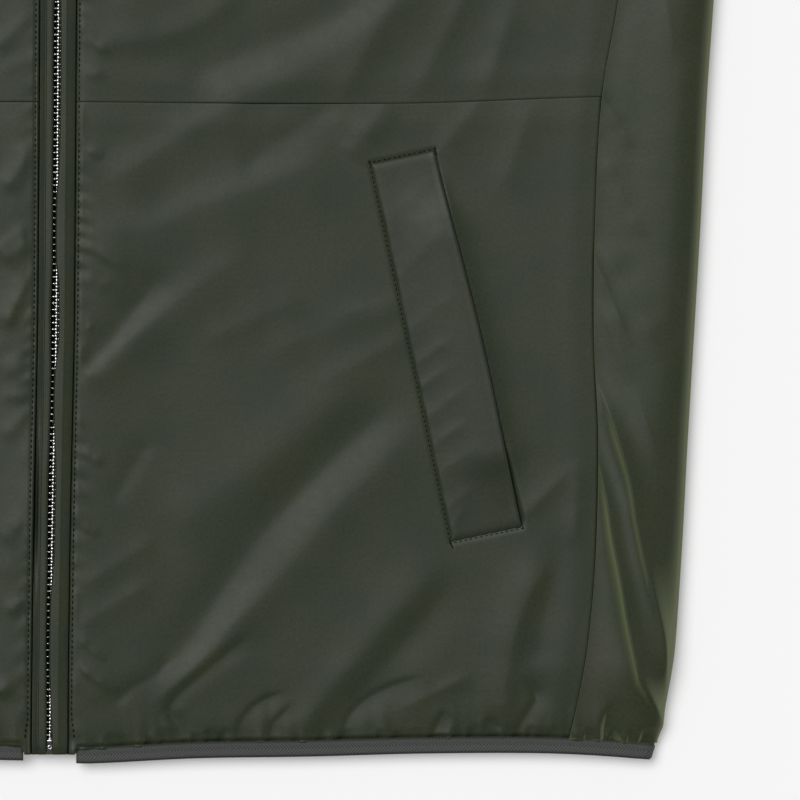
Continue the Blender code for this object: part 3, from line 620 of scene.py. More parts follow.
def fold_relief(folds, width, height):
    """How far the traced folds raise the cloth, in millimetres. Each dies out at its ends and flanks."""
    total = np.zeros_like(width)
    for n, fold in enumerate(folds):
        knots = np.asarray(fold.path, float)
        chord = np.concatenate([[0], np.cumsum(np.hypot(*np.diff(knots, axis=0).T))])
        at = np.linspace(0, chord[-1], 4 * len(knots))
        line = np.stack([smooth_through(at, chord, knots[:, k]) for k in (0, 1)], axis=-1)
        reach = 3.0 * max(fold.left + fold.right)
        low, high = knots.min(axis=0) - reach, knots.max(axis=0) + reach
        near = (width > low[0]) & (width < high[0]) & (height > low[1]) & (height < high[1])
        x, h = width[near], height[near]
        nearest, away, along = np.full(x.shape, np.inf), np.zeros_like(x), np.zeros_like(x)
        for k, (start, step) in enumerate(zip(line[:-1], np.diff(line, axis=0))):
            t = np.clip(((x - start[0]) * step[0] + (h - start[1]) * step[1]) / (step @ step), 0, 1)
            off_x, off_h = x - start[0] - t * step[0], h - start[1] - t * step[1]
            distance = np.hypot(off_x, off_h)
            closer = distance < nearest
            nearest = np.where(closer, distance, nearest)
            away = np.where(closer, distance * np.sign(step[0] * off_h - step[1] * off_x), away)
            along = np.where(closer, (k + t) / (len(line) - 1), along)
        half = np.where(away > 0, mix(*fold.left, along), mix(*fold.right, along))
        taper = ease(along / 0.15) * ease((1 - along) / 0.25)
        uneven = 1 + 0.12 * np.sin(9 * along + 2.3 * n) + 0.08 * np.sin(23 * along + 1.1 * n)
        total[near] += fold.lift * taper * uneven * np.exp(-(np.abs(away) / half) ** 1.8)
    return total


def zip_edge_relief(from_edge, height, side):
    """The front edge is turned under and topstitched, and the thread puckers the cloth beside it."""
    turned = -1.3 * np.exp(-(from_edge / 0.4) ** 2)
    groove = -0.6 * np.exp(-((from_edge - ZIP_STITCH) / 0.5) ** 2)
    slant = height + 0.35 * from_edge
    swell = 0.5 + 0.5 * np.sin(slant / 19 + 2 * side)
    pull = (np.sin(slant / 1.3 + 2.9 * np.sin(slant / 13 + side)) * swell
            + 0.9 * np.sin(slant / 3.6 + 2.0 * np.sin(slant / 29)) * np.sin(slant / 11 + side))
    pucker = 0.24 * pull * np.exp(-((from_edge - 2.2) / (3.2 + 1.4 * np.sin(height / 17 + side))) ** 2)
    lifted = 1.8 * np.exp(-((height - 112) / 27) ** 2) * np.exp(-from_edge / 7) * (side < 0)
    return turned + groove + pucker + lifted


def pocket_place(width, height, side):
    """Places in the pocket's own directions: down its length and across it, from its middle."""
    x, h = side * width - POCKET_MIDDLE[0], height - POCKET_MIDDLE[1]
    down = x * math.sin(POCKET_TILT) - h * math.cos(POCKET_TILT)
    across = x * math.cos(POCKET_TILT) + h * math.sin(POCKET_TILT)
    return down, across


def pocket_mouth(down):
    """How far the welt's free fold stands from the pocket's middle line: wider towards the foot."""
    t = down / POCKET_LONG + 0.5
    return POCKET_WIDE / 2 + mix(-1.9, 1.1, t) + 1.5 * np.sin(np.clip(t, 0, 1) * math.pi) ** 2


def pocket_bulge(down):
    """How high the cloth stands along the pocket's mouth, and how far beyond it that dies out."""
    reach = 2.3 + 3.2 * ease((down + 72) / 28) * ease((66 - down) / 18)
    ends = ease((POCKET_LONG / 2 - down) / 34) * ease((POCKET_LONG / 2 + down) / 30)
    return 0.46 * reach * ends, reach


def pocket_relief(width, height, side):
    """The cloth is stitched down close round the welt. Beside the mouth it falls away under the welt."""
    down, across = pocket_place(width, height, side)
    mouth = across - pocket_mouth(down)
    outside = np.maximum(-POCKET_WIDE / 2 - across, np.abs(down) - POCKET_LONG / 2)
    beside = ease((2.0 - mouth) / 2.0)
    ridge = -0.5 * np.exp(-((outside - 0.7) / 0.75) ** 2)
    sunk = -1.6 * ease(-outside / 0.8) * ease((0.2 - mouth) / 1.2)
    stand, reach = pocket_bulge(down)
    bulge = stand * np.exp(-np.maximum(mouth, 0) / reach) * ease((mouth + 2.5) / 2.0)
    slit = -1.5 * np.exp(-((mouth - 0.1) / 1.3) ** 2)
    slit = slit * ease((down - 36) / 25) * ease((POCKET_LONG / 2 + 1 - down) / 4)
    return ridge * beside + sunk + bulge + slit


BESIDE_ZIP_CREASES = [
    Crease(21.6, 185, 8.6, 210, -2, 2.5, 5, 0.9),
    Crease(24, 217, 8.6, 226, 0, 4, 5, 0.8),
    Crease(24, 159, 9, 158, 0, 2, 4, 0.5),
    Crease(24, 140, 9, 153, 0, 4, 4, 0.5),
    Crease(21.6, 65.7, 9.5, 71.7, 0, 2.5, 3, 0.6),
    Crease(26, 29, 18, 35.5, 0, 3, 4, 0.9),
    Crease(24, 246, 8.6, 268, 1, 4, 5, 0.7),
    Crease(24, 95, 8.6, 108, -1, 4, 5, 0.6),
]


def like_but_turned(creases, lift):
    """Creases for the other side of the garment: similar, a little moved, steep on the other flank."""
    return [c._replace(x0=c.x0 + 4, x1=c.x1 + 3, h0=c.h0 + 5, h1=c.h1 + 2, left=c.right, right=c.left,
                       bow=-c.bow, lift=c.lift * lift) for c in creases]


lower_creases = {1: FRONT_CREASES,
                 -1: like_but_turned([c for c in FRONT_CREASES if c.x1 > 30], 0.85) + BESIDE_ZIP_CREASES}
lower_traced = {1: FRONT_FOLDS,
                -1: [f._replace(path=tuple((x + 4, h + 3) for x, h in f.path), left=f.right, right=f.left)
                     for f in FRONT_FOLDS]}
lower_folds = {1: HEM_FOLDS,
               -1: [f._replace(width=f.width + 3.5, lean=f.lean * 0.7, reach=f.reach * 0.9)
                    for f in HEM_FOLDS]}


def lower_slack(side, away, height):
    """Height of all the slack in a lower front: its creases and its traced folds."""
    creases = crease_relief(lower_creases[side], away, height)
    return creases + fold_relief(lower_traced[side], away, height)


def lower_foot(width, height):
    """Where the panel ends at the hem: at the binding's seam, but lower in the edge beside the zip."""
    from_edge = np.abs(width - zip_middle(height)) - FRONT_EDGE
    return mix(hem_seam(width) - HEM_TUCK, TONGUE_HEIGHT, 1 - ease((from_edge - TONGUE_WIDTH) / 0.6))


def lower_level(side, width, height):
    """Height of the lower front's outside above the surface, with all its creases and seams."""
    away = side * width
    from_edge = np.abs(width - zip_middle(height)) - FRONT_EDGE
    relief = lower_slack(side, away, height) + fold_at_hem(lower_folds[side], away, height)
    relief = relief * ease((from_edge - 1.5) / 6)
    relief = relief + hem_gathers(width, height, side) * ease((from_edge - 3) / 4)
    relief = relief + zip_edge_relief(from_edge, height, side) + pocket_relief(width, height, side)
    relief = relief + seam_dip(chest_seam(width) - height, CHEST_SEAM_DEPTH)
    relief = relief + seam_dip(side_seam(height) - away, 0.4, 0.45)
    relief = relief + seam_dip(height - hem_seam(width), 1.3, 0.9) * ease((from_edge - 2) / 3)
    return front_level(width, height) + relief


def lower_front(side, name, spacing):
    """Rows run up from the hem seam, columns from the zip to the side seam."""
    u = graded(226, 0.2, spacing)[None, :]
    v = np.concatenate([np.linspace(0, 45, int(30 / spacing) * 2, endpoint=False) / 276,
                        mix(45 / 276, 1, graded(231 * 2, 0.6, spacing * 2.4))])[:, None]
    height = np.repeat(280 * v, u.shape[1], axis=1)
    for _ in range(5):
        inner = zip_middle(height) + side * FRONT_EDGE
        outer = side * (side_seam(height) - SEAM_GAP / 2)
        width = mix(inner, outer, u)
        height = mix(lower_foot(width, height), chest_seam(width) - SEAM_GAP / 2, v)
    level = lower_level(side, width, height)
    outer_points = np.stack([width, height, level], axis=-1)
    inner_points = np.stack([width, height, level - FRONT_SHELL], axis=-1)
    cut = np.stack([width, height], axis=-1)
    return cloth_shell(name, outer_points, inner_points, cut, shell_cloth), cut


left_lower, cut = lower_front(1, "lower_front_wearer_left", 0.82)
lay(left_lower, "front_lower_left")
right_lower, cut = lower_front(-1, "lower_front_wearer_right", 1.3)
lay(right_lower, "front_lower_right")


def node_group(name, inputs):
    """A new geometry node group: a geometry goes in and out, and the other inputs have names."""
    tree = bpy.data.node_groups.new(name, "GeometryNodeTree")
    tree.interface.new_socket("Geometry", in_out="INPUT", socket_type="NodeSocketGeometry")
    for label, kind in inputs:
        tree.interface.new_socket(label, in_out="INPUT", socket_type=kind)
    tree.interface.new_socket("Geometry", in_out="OUTPUT", socket_type="NodeSocketGeometry")
    return tree, tree.nodes, tree.links


def stitch_group():
    """Sets one thread stitch at even steps along every line."""
    tree, nodes, links = node_group("stitches", [
        ("Pitch", "NodeSocketFloat"), ("Stitch", "NodeSocketVector"), ("Thread", "NodeSocketMaterial")])
    start, end = nodes.new("NodeGroupInput"), nodes.new("NodeGroupOutput")
    curve = nodes.new("GeometryNodeMeshToCurve")
    steps = nodes.new("GeometryNodeResampleCurve")
    steps.mode = "LENGTH"
    along = nodes.new("GeometryNodeInputTangent")
    turn = nodes.new("FunctionNodeAlignRotationToVector")
    turn.axis = "X"
    bead = nodes.new("GeometryNodeMeshUVSphere")
    bead.inputs["Segments"].default_value = 6
    bead.inputs["Rings"].default_value = 5
    bead.inputs["Radius"].default_value = 0.5
    place = nodes.new("GeometryNodeInstanceOnPoints")
    real = nodes.new("GeometryNodeRealizeInstances")
    paint = nodes.new("GeometryNodeSetMaterial")
    links.new(start.outputs["Geometry"], curve.inputs["Mesh"])
    links.new(curve.outputs["Curve"], steps.inputs["Curve"])
    links.new(start.outputs["Pitch"], steps.inputs["Length"])
    links.new(steps.outputs["Curve"], place.inputs["Points"])
    links.new(bead.outputs["Mesh"], place.inputs["Instance"])
    links.new(along.outputs["Tangent"], turn.inputs["Vector"])
    links.new(turn.outputs["Rotation"], place.inputs["Rotation"])
    links.new(start.outputs["Stitch"], place.inputs["Scale"])
    links.new(place.outputs["Instances"], real.inputs["Geometry"])
    links.new(real.outputs["Geometry"], paint.inputs["Geometry"])
    links.new(start.outputs["Thread"], paint.inputs["Material"])
    links.new(paint.outputs["Geometry"], end.inputs["Geometry"])
    return tree


def grown(name, lines, tree, values):
    """Runs a node group on lines of points and keeps what it makes as a plain mesh."""
    points, edges = [], []
    for line in lines:
        edges += [(len(points) + k, len(points) + k + 1) for k in range(len(line) - 1)]
        points += ((np.asarray(line) + [0, -GARMENT_LENGTH / 2, 0]) * MM).tolist()
    mesh = bpy.data.meshes.new(name)
    mesh.from_pydata(points, edges, [])
    made = bpy.data.objects.new(name, mesh)
    bpy.context.collection.objects.link(made)
    modifier = made.modifiers.new(tree.name, "NODES")
    modifier.node_group = tree
    for item in tree.interface.items_tree:
        if item.in_out == "INPUT" and item.name in values:
            modifier[item.identifier] = values[item.name]
    finished = bpy.data.meshes.new_from_object(made.evaluated_get(bpy.context.evaluated_depsgraph_get()))
    made.modifiers.clear()
    made.data = finished
    finished.shade_smooth()
    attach(made, "gilet")
    return made


def spun_thread():
    """Matt dark polyester thread."""
    made = bpy.data.materials.new("dark_thread")
    made.use_nodes = True
    shader = made.node_tree.nodes["Principled BSDF"]
    shader.inputs["Roughness"].default_value = 0.9
    shader.inputs["Specular IOR Level"].default_value = 0.06
    place = made.node_tree.nodes.new("ShaderNodeTexCoord")
    twist = made.node_tree.nodes.new("ShaderNodeTexNoise")
    twist.inputs["Scale"].default_value = 2500
    shades = made.node_tree.nodes.new("ShaderNodeValToRGB")
    shades.color_ramp.elements[0].color = (0.003, 0.0035, 0.003, 1)
    shades.color_ramp.elements[1].color = (0.010, 0.011, 0.008, 1)
    made.node_tree.links.new(place.outputs["Object"], twist.inputs["Vector"])
    made.node_tree.links.new(twist.outputs["Fac"], shades.inputs["Fac"])
    made.node_tree.links.new(shades.outputs["Color"], shader.inputs["Base Color"])
    return made


thread = spun_thread()
stitches = stitch_group()
STITCH_PITCH = 2.4
STITCH_SIZE = (1.7, 0.8, 0.4)


def sew(name, lines, pitch=STITCH_PITCH, size=STITCH_SIZE):
    values = {"Pitch": pitch * MM, "Stitch": tuple(s * MM for s in size), "Thread": thread}
    return grown(name, lines, stitches, values)


def zip_stitch_line(side, low, high):
    """The topstitching along a front edge. At the hem it bends away from the zip to the binding's end."""
    height = np.arange(low, high, 2.0)
    from_edge = ZIP_STITCH + 1.2 * ease((22 - height) / 12)
    width = zip_middle(height) + side * (FRONT_EDGE + from_edge)
    level = front_level(width, height) + zip_edge_relief(from_edge, height, side) + 0.14
    return np.stack([width, height, level], axis=-1)


sew("stitches_lower_left", [zip_stitch_line(1, 12, 285)])
sew("stitches_lower_right", [zip_stitch_line(-1, 12, 285)])

# Upper fronts: the same padded nylon from the chest seam to the neck, the armhole and the shoulder.
# They are topstitched along the zip, and their slack runs up towards the shoulders.

NECK_FRONT = 590.0
UPPER_FOLDS = [
    Fold(((62.6, 280), (86.4, 290.3), (101.5, 297.6), (116.6, 305.4), (127.4, 312.8), (151.2, 327.9),
          (175, 345)), (12, 12), (14, 14), 1.05),
    Fold(((53, 290), (66, 299), (88, 309), (109, 317), (126, 326), (143, 338)), (10, 10), (9, 9), -0.75),
    Fold(((14, 308), (25.9, 311.9), (41, 313.6), (56.2, 318), (69.1, 325.7), (85, 338)),
         (9, 9), (6, 6), 0.65),
]
UPPER_CREASES = [
    Crease(120, 280, 162, 354, 2, 8, 7, 0.55),
    Crease(150, 278, 189, 356, 0, 7, 7, 0.5),
    Crease(182, 278, 207, 356, 0, 7, 7, 0.5),
    Crease(5, 321, 25, 305, 0, 3, 1.8, 0.5),
    Crease(5, 300.5, 24, 296.5, 0, 3, 1.8, 0.45),
    Crease(18, 322, 98, 354, 3, 9, 12, 0.7),
    Crease(12, 372, 122, 454, -6, 12, 16, 1.4),
    Crease(10, 386, 96, 462, -4, 9, 7, -0.9),
    Crease(86, 394, 206, 474, 5, 14, 12, 1.2),
    Crease(12, 453, 98, 542, -5, 10, 14, 1.3),
    Crease(116, 484, 210, 570, 6, 13, 12, 1.2),
    Crease(56, 538, 172, 636, -6, 12, 14, 1.0),
    Crease(186, 398, 250, 436, 3, 8, 9, 0.9),
    Crease(8, 518, 62, 577, 2, 6, 9, 0.8),
    Crease(5, 350, 22, 340, 0, 3, 2, 0.4),
    Crease(5, 410, 24, 400, 0, 3, 2, 0.4),
    Crease(5, 486, 22, 478, 0, 3, 2, 0.4),
]


def neck_curve(side, count, inset=0.0):
    """The front neckline: a quarter of an ellipse from the zip to the shoulder."""
    start = zip_middle(NECK_FRONT) + side * FRONT_EDGE
    turn = np.linspace(0, math.pi / 2, count)
    width = start + (side * (NECK_WIDTH - inset) - start) * np.sin(turn)
    return np.stack([width, NECK_POINT - (NECK_POINT - NECK_FRONT - inset) * np.cos(turn)], axis=-1)


def upper_front(side, name, columns, rows, creases, folds):
    """Each row runs from the zip or the neckline to the side seam or the armhole."""
    chest = chest_seam(0)
    centre_rows, seam_rows = int(rows * 0.68), int(rows * 0.38)
    heights = np.linspace(chest, NECK_FRONT, centre_rows)
    inner = np.stack([zip_middle(heights) + side * FRONT_EDGE, heights], axis=-1)
    inner = np.concatenate([inner, neck_curve(side, rows - centre_rows + 1)[1:]])
    heights = np.linspace(chest_seam(side_seam(chest)), UNDERARM[-1].height, seam_rows)
    outer = np.stack([side_seam(heights) - SEAM_GAP / 2, heights], axis=-1)
    last = len(FRONT_ARMHOLE) - 1
    armhole = armhole_line(FRONT_ARMHOLE, UNDERARM_SPANS, last, rows - seam_rows + 1)
    outer = np.concatenate([outer, armhole[1:]])
    outer = outer * np.array([side, 1])
    steps = graded(rows, 0.2, 1) * (rows - 1)
    inner, outer = [np.stack([np.interp(steps, np.arange(rows), line[:, k]) for k in (0, 1)], axis=-1)
                    for line in (inner, outer)]
    u = graded(226, 0.2, 226 / columns)
    plan = mix(inner[:, None, :], outer[:, None, :], u[None, :, None])
    width, height = plan[..., 0], plan[..., 1].copy()
    foot = chest_seam(width[0]) + SEAM_GAP / 2
    height += (foot - height[0]) * ease(1 - steps[:, None] / 12)
    from_edge = np.abs(width - inner[:, None, 0])
    from_outer = np.abs(outer[:, None, 0] - width)
    slope = (outer[-1, 1] - inner[-1, 1]) / (outer[-1, 0] - inner[-1, 0])
    from_shoulder = inner[-1, 1] + (width - inner[-1, 0]) * slope - height
    at_zip = ease((NECK_FRONT - height) / 6)
    relief = crease_relief(creases, side * width, height) + fold_relief(folds, side * width, height)
    relief = relief * ease((from_edge - 1.5) / 6)
    relief = relief + at_zip * zip_edge_relief(from_edge, height, side)
    relief = relief + (1 - at_zip) * seam_dip(from_edge)
    relief = relief + seam_dip(height - foot, CHEST_SEAM_DEPTH) + seam_dip(from_outer)
    relief = relief + seam_dip(from_shoulder, 2.6, 2.6)
    level = front_level(width, height) + relief
    outer_points = np.stack([width, height, level], axis=-1)
    inner_points = np.stack([width, height, level - FRONT_SHELL], axis=-1)
    cut = np.stack([width, height], axis=-1)
    return cloth_shell(name, outer_points, inner_points, cut, shell_cloth), cut


left_upper, cut = upper_front(1, "upper_front_wearer_left", 170, 300, UPPER_CREASES, UPPER_FOLDS)
lay(left_upper, "front_upper_left")
other_creases = like_but_turned(UPPER_CREASES, 0.9)
other_folds = [f._replace(left=f.right, right=f.left, lift=f.lift * 0.9) for f in UPPER_FOLDS]
right_upper, cut = upper_front(-1, "upper_front_wearer_right", 100, 170, other_creases, other_folds)
lay(right_upper, "front_upper_right")
sew("stitches_upper_left", [zip_stitch_line(1, 287.4, NECK_FRONT)])
sew("stitches_upper_right", [zip_stitch_line(-1, 287.4, NECK_FRONT)])

# Pocket welts: a folded strip of the shell cloth in each lower front, sewn at its inner edge and ends.
# The cloth round it is turned in and stitched close to the seam, with a tack at each corner.
# The outer edge is the free fold over the pocket's mouth.

WELT_SHELL, WELT_LAP = 1.0, 0.5
# Painted shade: the welt uses the shell's colours made darker, since its tilt towards the light makes it
# read brighter than the panel.
WELT_PAINTED_SHADE = 0.9
welt_painted_shade_colours = [tuple(WELT_PAINTED_SHADE * part for part in colour)
                for colour in (OLIVE_GREEN, OLIVE, OLIVE_YELLOW)]
welt_cloth = nylon_shell("olive_nylon_welt_painted_shade", welt_painted_shade_colours)
WELT_CREASES = [
    Crease(-48, -26, -74, 14, 1, 6, 8, 0.25),
    Crease(-22, -26, -52, 16, 2, 7, 6, 0.25),
    Crease(-2, -28, -22, 12, 1, 3.5, 6, 0.16),
    Crease(10, -26, -4, 6, 0, 2.6, 4.0, 0.22),
    Crease(20, -24, 8, 2, 0, 2.4, 3.4, 0.2),
    Crease(34, -26, 18, 8, 0, 2.8, 4.4, 0.26),
    Crease(46, -26, 33, 4, 0, 2.6, 3.6, 0.22),
    Crease(60, -26, 44, 10, 1, 3.4, 5, 0.2),
    Crease(74, -24, 62, 0, 0, 2.6, 3.4, 0.2),
    Crease(90, -24, 66, -4, 0, 2.2, 3.0, 0.15),
]


def pocket_point(side, down, across):
    x = POCKET_MIDDLE[0] + down * math.sin(POCKET_TILT) + across * math.cos(POCKET_TILT)
    return side * x, POCKET_MIDDLE[1] - down * math.cos(POCKET_TILT) + across * math.sin(POCKET_TILT)


def pocket_welt(side, name):
    """Rows run down the welt, columns from its seam to its free fold."""
    long = POCKET_LONG + 2 * WELT_LAP
    down = ((graded(long, 0.3, 0.9) - 0.5) * long)[:, None]
    share = graded(POCKET_WIDE, 0.15, 0.7)[None, :]
    across = mix(-POCKET_WIDE / 2 - WELT_LAP, pocket_mouth(down), share)
    down = np.repeat(down, share.shape[1], axis=1)
    width, height = pocket_point(side, down, across)
    from_seam, from_fold = across - across[:, :1], pocket_mouth(down) - across
    from_end = long / 2 - np.abs(down)
    base = front_level(width, height) + 0.7 * lower_slack(side, side * width, height)
    plump = 0.9 * (1 - np.exp(-np.minimum(from_seam, from_end) / 1.0)) - 0.4
    gape = (pocket_bulge(down)[0] + 1.1) * ease(from_seam / POCKET_WIDE) * ease(from_end / 30)
    fold = 0.22 * np.exp(-((from_fold - 1.3) / 0.9) ** 2) - 0.5 * np.exp(-(from_fold / 0.3) ** 2)
    pull = np.sin(down / 1.1 + 1.5 * np.sin(down / 6)) * 0.05 * np.exp(-from_seam / 1.6)
    relief = crease_relief(WELT_CREASES, down, across, 1.4)
    level = base + plump + gape + fold + pull + relief * ease(from_seam / 1.2) * ease(from_end / 3)
    outer = np.stack([width, height, level], axis=-1)
    inner = np.stack([width, height, level - WELT_SHELL], axis=-1)
    cut = np.stack([across + 80 * side, down], axis=-1)
    return cloth_shell(name, outer, inner, cut, welt_cloth), cut


def pocket_stitches(side):
    """Lines of stitches round three sides, and the tacks at the corners."""
    end, edge = POCKET_LONG / 2 + STITCH_OUT, POCKET_WIDE / 2 + STITCH_OUT
    high, low = float(pocket_mouth(-end)), float(pocket_mouth(end))
    runs = [((-end, high), (-end, -edge)), ((-end, -edge), (end, -edge)), ((end, -edge), (end, low))]
    tacks = [((-end - 0.4, high + 0.3), (-end + 2.6, high + 0.3)),
             ((end - 2.4, low + 0.3), (end + 0.4, low + 0.3)),
             ((-end - 0.6, -edge), (-end + 1.4, -edge + 0.3)),
             ((end - 1.4, -edge), (end + 2.0, -edge + 0.4))]
    lines = []
    for run in (runs, tacks):
        made = []
        for first, last in run:
            t = np.linspace(0, 1, 60)
            width, height = pocket_point(side, mix(first[0], last[0], t), mix(first[1], last[1], t))
            made.append(np.stack([width, height, lower_level(side, width, height) + 0.12], axis=-1))
        lines.append(made)
    return lines


for side, name in ((1, "left"), (-1, "right")):
    welt, cut = pocket_welt(side, "pocket_welt_wearer_" + name)
    lay(welt, "pocket_welt_" + name)
    runs, tacks = pocket_stitches(side)
    sew("stitches_pocket_" + name, runs, 2.15, (1.35, 0.5, 0.36))
    sew("tacks_pocket_" + name, tacks, 0.5, (0.45, 0.9, 0.35))

# Zip: a woven tape behind each front edge, with a row of metal teeth clamped along it.
# The rows close alternately between the cloth lips, and a metal box at the foot holds the pin.

ZIP_END, ZIP_TOP = 3.9, 660.0
TAPE_INNER, TAPE_OUTER, TAPE_LOW, TAPE_HIGH = 1.0, 11.0, 4.4, 5.2
TOOTH_PITCH = 2.83
CHAIN_LOW, CHAIN_LEVEL, CHAIN_HIGH = 10.1, 6.2, 654.0


def ribbed_tape():
    """Dark woven polyester tape with fine ribs across it, painted near black: partly its own dark colour,
    partly painted shade in the gap between the lips.
    """
    made = bpy.data.materials.new("dark_tape_painted_shade")
    made.use_nodes = True
    nodes, links = made.node_tree.nodes, made.node_tree.links
    shader = nodes["Principled BSDF"]
    shader.inputs["Base Color"].default_value = (0.004, 0.0045, 0.0035, 1)
    shader.inputs["Roughness"].default_value = 0.85
    shader.inputs["Specular IOR Level"].default_value = 0.1
    place = nodes.new("ShaderNodeUVMap")
    place.uv_map = "cut"
    ribs = nodes.new("ShaderNodeTexWave")
    ribs.bands_direction = "Y"
    ribs.inputs["Scale"].default_value = 380
    bump = nodes.new("ShaderNodeBump")
    bump.inputs["Strength"].default_value = 0.4
    bump.inputs["Distance"].default_value = 0.0002
    links.new(place.outputs["UV"], ribs.inputs["Vector"])
    links.new(ribs.outputs["Fac"], bump.inputs["Height"])
    links.new(bump.outputs["Normal"], shader.inputs["Normal"])
    return made


def polished_metal(name, colour, roughness):
    """Bright plated metal with fine wear."""
    made = bpy.data.materials.new(name)
    made.use_nodes = True
    nodes, links = made.node_tree.nodes, made.node_tree.links
    shader = nodes["Principled BSDF"]
    shader.inputs["Base Color"].default_value = (*colour, 1)
    shader.inputs["Metallic"].default_value = 1
    place = nodes.new("ShaderNodeTexCoord")
    wear = nodes.new("ShaderNodeTexNoise")
    wear.inputs["Scale"].default_value = 900
    wear.inputs["Detail"].default_value = 3
    gloss = nodes.new("ShaderNodeMapRange")
    gloss.inputs["To Min"].default_value = roughness - 0.08
    gloss.inputs["To Max"].default_value = roughness + 0.08
    links.new(place.outputs["Object"], wear.inputs["Vector"])
    links.new(wear.outputs["Fac"], gloss.inputs["Value"])
    links.new(gloss.outputs["Result"], shader.inputs["Roughness"])
    return made


tape_cloth = ribbed_tape()
silver = polished_metal("plated_silver", (0.86, 0.86, 0.84), 0.24)
# Painted shade: the foot box is given a near-black plating that stands for the shade under the lips.
painted_shade_plating = polished_metal("dark_plating_painted_shade", (0.05, 0.05, 0.05), 0.35)


def zip_tape(side, name):
    height = np.linspace(ZIP_END, ZIP_TOP, 220)[:, None]
    offset = np.linspace(TAPE_INNER, TAPE_OUTER, 8)[None, :]
    width = zip_middle(height) + side * offset
    height = np.repeat(height, 8, axis=1)
    bead = 0.25 * np.exp(-((offset - TAPE_INNER - 0.6) / 0.6) ** 2)
    top = np.stack([width, height, TAPE_HIGH + bead + 0 * height], axis=-1)
    under = np.stack([width, height, TAPE_LOW + 0 * height], axis=-1)
    cut = np.stack([np.repeat(offset * side, 220, axis=0), height], axis=-1)
    return cloth_shell(name, top, under, cut, tape_cloth), cut


for side, name in ((1, "left"), (-1, "right")):
    tape, cut = zip_tape(side, "zip_tape_wearer_" + name)
    lay(tape, "zip_tape_" + name)


def tooth_group():
    """Sets one tooth at even steps along a line: a flat shank with a rounder head over the middle."""
    tree, nodes, links = node_group("teeth", [
        ("Pitch", "NodeSocketFloat"), ("Shank", "NodeSocketVector"), ("Head", "NodeSocketVector"),
        ("Reach", "NodeSocketVector"), ("Turn", "NodeSocketRotation"), ("Metal", "NodeSocketMaterial")])
    start, end = nodes.new("NodeGroupInput"), nodes.new("NodeGroupOutput")
    curve = nodes.new("GeometryNodeMeshToCurve")
    steps = nodes.new("GeometryNodeResampleCurve")
    steps.mode = "LENGTH"
    both = nodes.new("GeometryNodeJoinGeometry")
    for part in ("Shank", "Head"):
        block = nodes.new("GeometryNodeMeshCube")
        rounded = nodes.new("GeometryNodeSubdivisionSurface")
        rounded.inputs["Level"].default_value = 1
        rounded.inputs["Edge Crease"].default_value = 0.75 if part == "Shank" else 0.45
        moved = nodes.new("GeometryNodeTransform")
        links.new(start.outputs[part], block.inputs["Size"])
        links.new(block.outputs["Mesh"], rounded.inputs["Mesh"])
        links.new(rounded.outputs["Mesh"], moved.inputs["Geometry"])
        links.new(moved.outputs["Geometry"], both.inputs["Geometry"])
        if part == "Shank":
            links.new(start.outputs["Reach"], moved.inputs["Translation"])
    place = nodes.new("GeometryNodeInstanceOnPoints")
    real = nodes.new("GeometryNodeRealizeInstances")
    paint = nodes.new("GeometryNodeSetMaterial")
    links.new(start.outputs["Geometry"], curve.inputs["Mesh"])
    links.new(curve.outputs["Curve"], steps.inputs["Curve"])
    links.new(start.outputs["Pitch"], steps.inputs["Length"])
    links.new(steps.outputs["Curve"], place.inputs["Points"])
    links.new(both.outputs["Geometry"], place.inputs["Instance"])
    links.new(start.outputs["Turn"], place.inputs["Rotation"])
    links.new(place.outputs["Instances"], real.inputs["Geometry"])
    links.new(real.outputs["Geometry"], paint.inputs["Geometry"])
    links.new(start.outputs["Metal"], paint.inputs["Material"])
    links.new(paint.outputs["Geometry"], end.inputs["Geometry"])
    return tree


teeth = tooth_group()
for side, name in ((1, "left"), (-1, "right")):
    start = CHAIN_LOW + 0.7 + (TOOTH_PITCH / 2 if side < 0 else 0)
    height = np.arange(start, CHAIN_HIGH - 0.7, 4.0)
    line = np.stack([zip_middle(height) + 0.1 * side, height, np.full_like(height, CHAIN_LEVEL)], axis=-1)
    made = grown("zip_teeth_wearer_" + name, [line], teeth, {
        "Pitch": TOOTH_PITCH * MM,
        "Shank": (2.2 * MM, 0.6 * MM, 0.8 * MM),
        "Head": (1.5 * MM, 1.2 * MM, 1.5 * MM),
        "Reach": (1.3 * MM, 0, 0),
        "Turn": (0, 0, 0 if side > 0 else math.pi),
        "Metal": silver,
    })
    if side > 0:
        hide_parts("zip_chain")


def bevelled(node, name, body, metal, rounding):
    """A metal piece on its solid's own form, with its edges rounded."""
    made = bpy.data.objects.new(name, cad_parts[node].data.copy())
    bpy.context.collection.objects.link(made)
    weld = made.modifiers.new("weld", "WELD")
    weld.merge_threshold = 0.00002
    round_off = made.modifiers.new("round", "BEVEL")
    round_off.width = rounding * MM
    round_off.segments = 3
    round_off.limit_method = "ANGLE"
    round_off.angle_limit = math.radians(35)
    finished = bpy.data.meshes.new_from_object(made.evaluated_get(bpy.context.evaluated_depsgraph_get()))
    made.modifiers.clear()
    made.data = finished
    finished.materials.clear()
    finished.materials.append(metal)
    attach(made, body)
    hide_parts(node)
    return made


bevelled("zip_box", "zip_foot_box", "gilet", painted_shade_plating, 0.35)
bevelled("zip_stop_left", "zip_top_stop_left", "gilet", silver, 0.3)
bevelled("zip_stop_right", "zip_top_stop_right", "gilet", silver, 0.3)


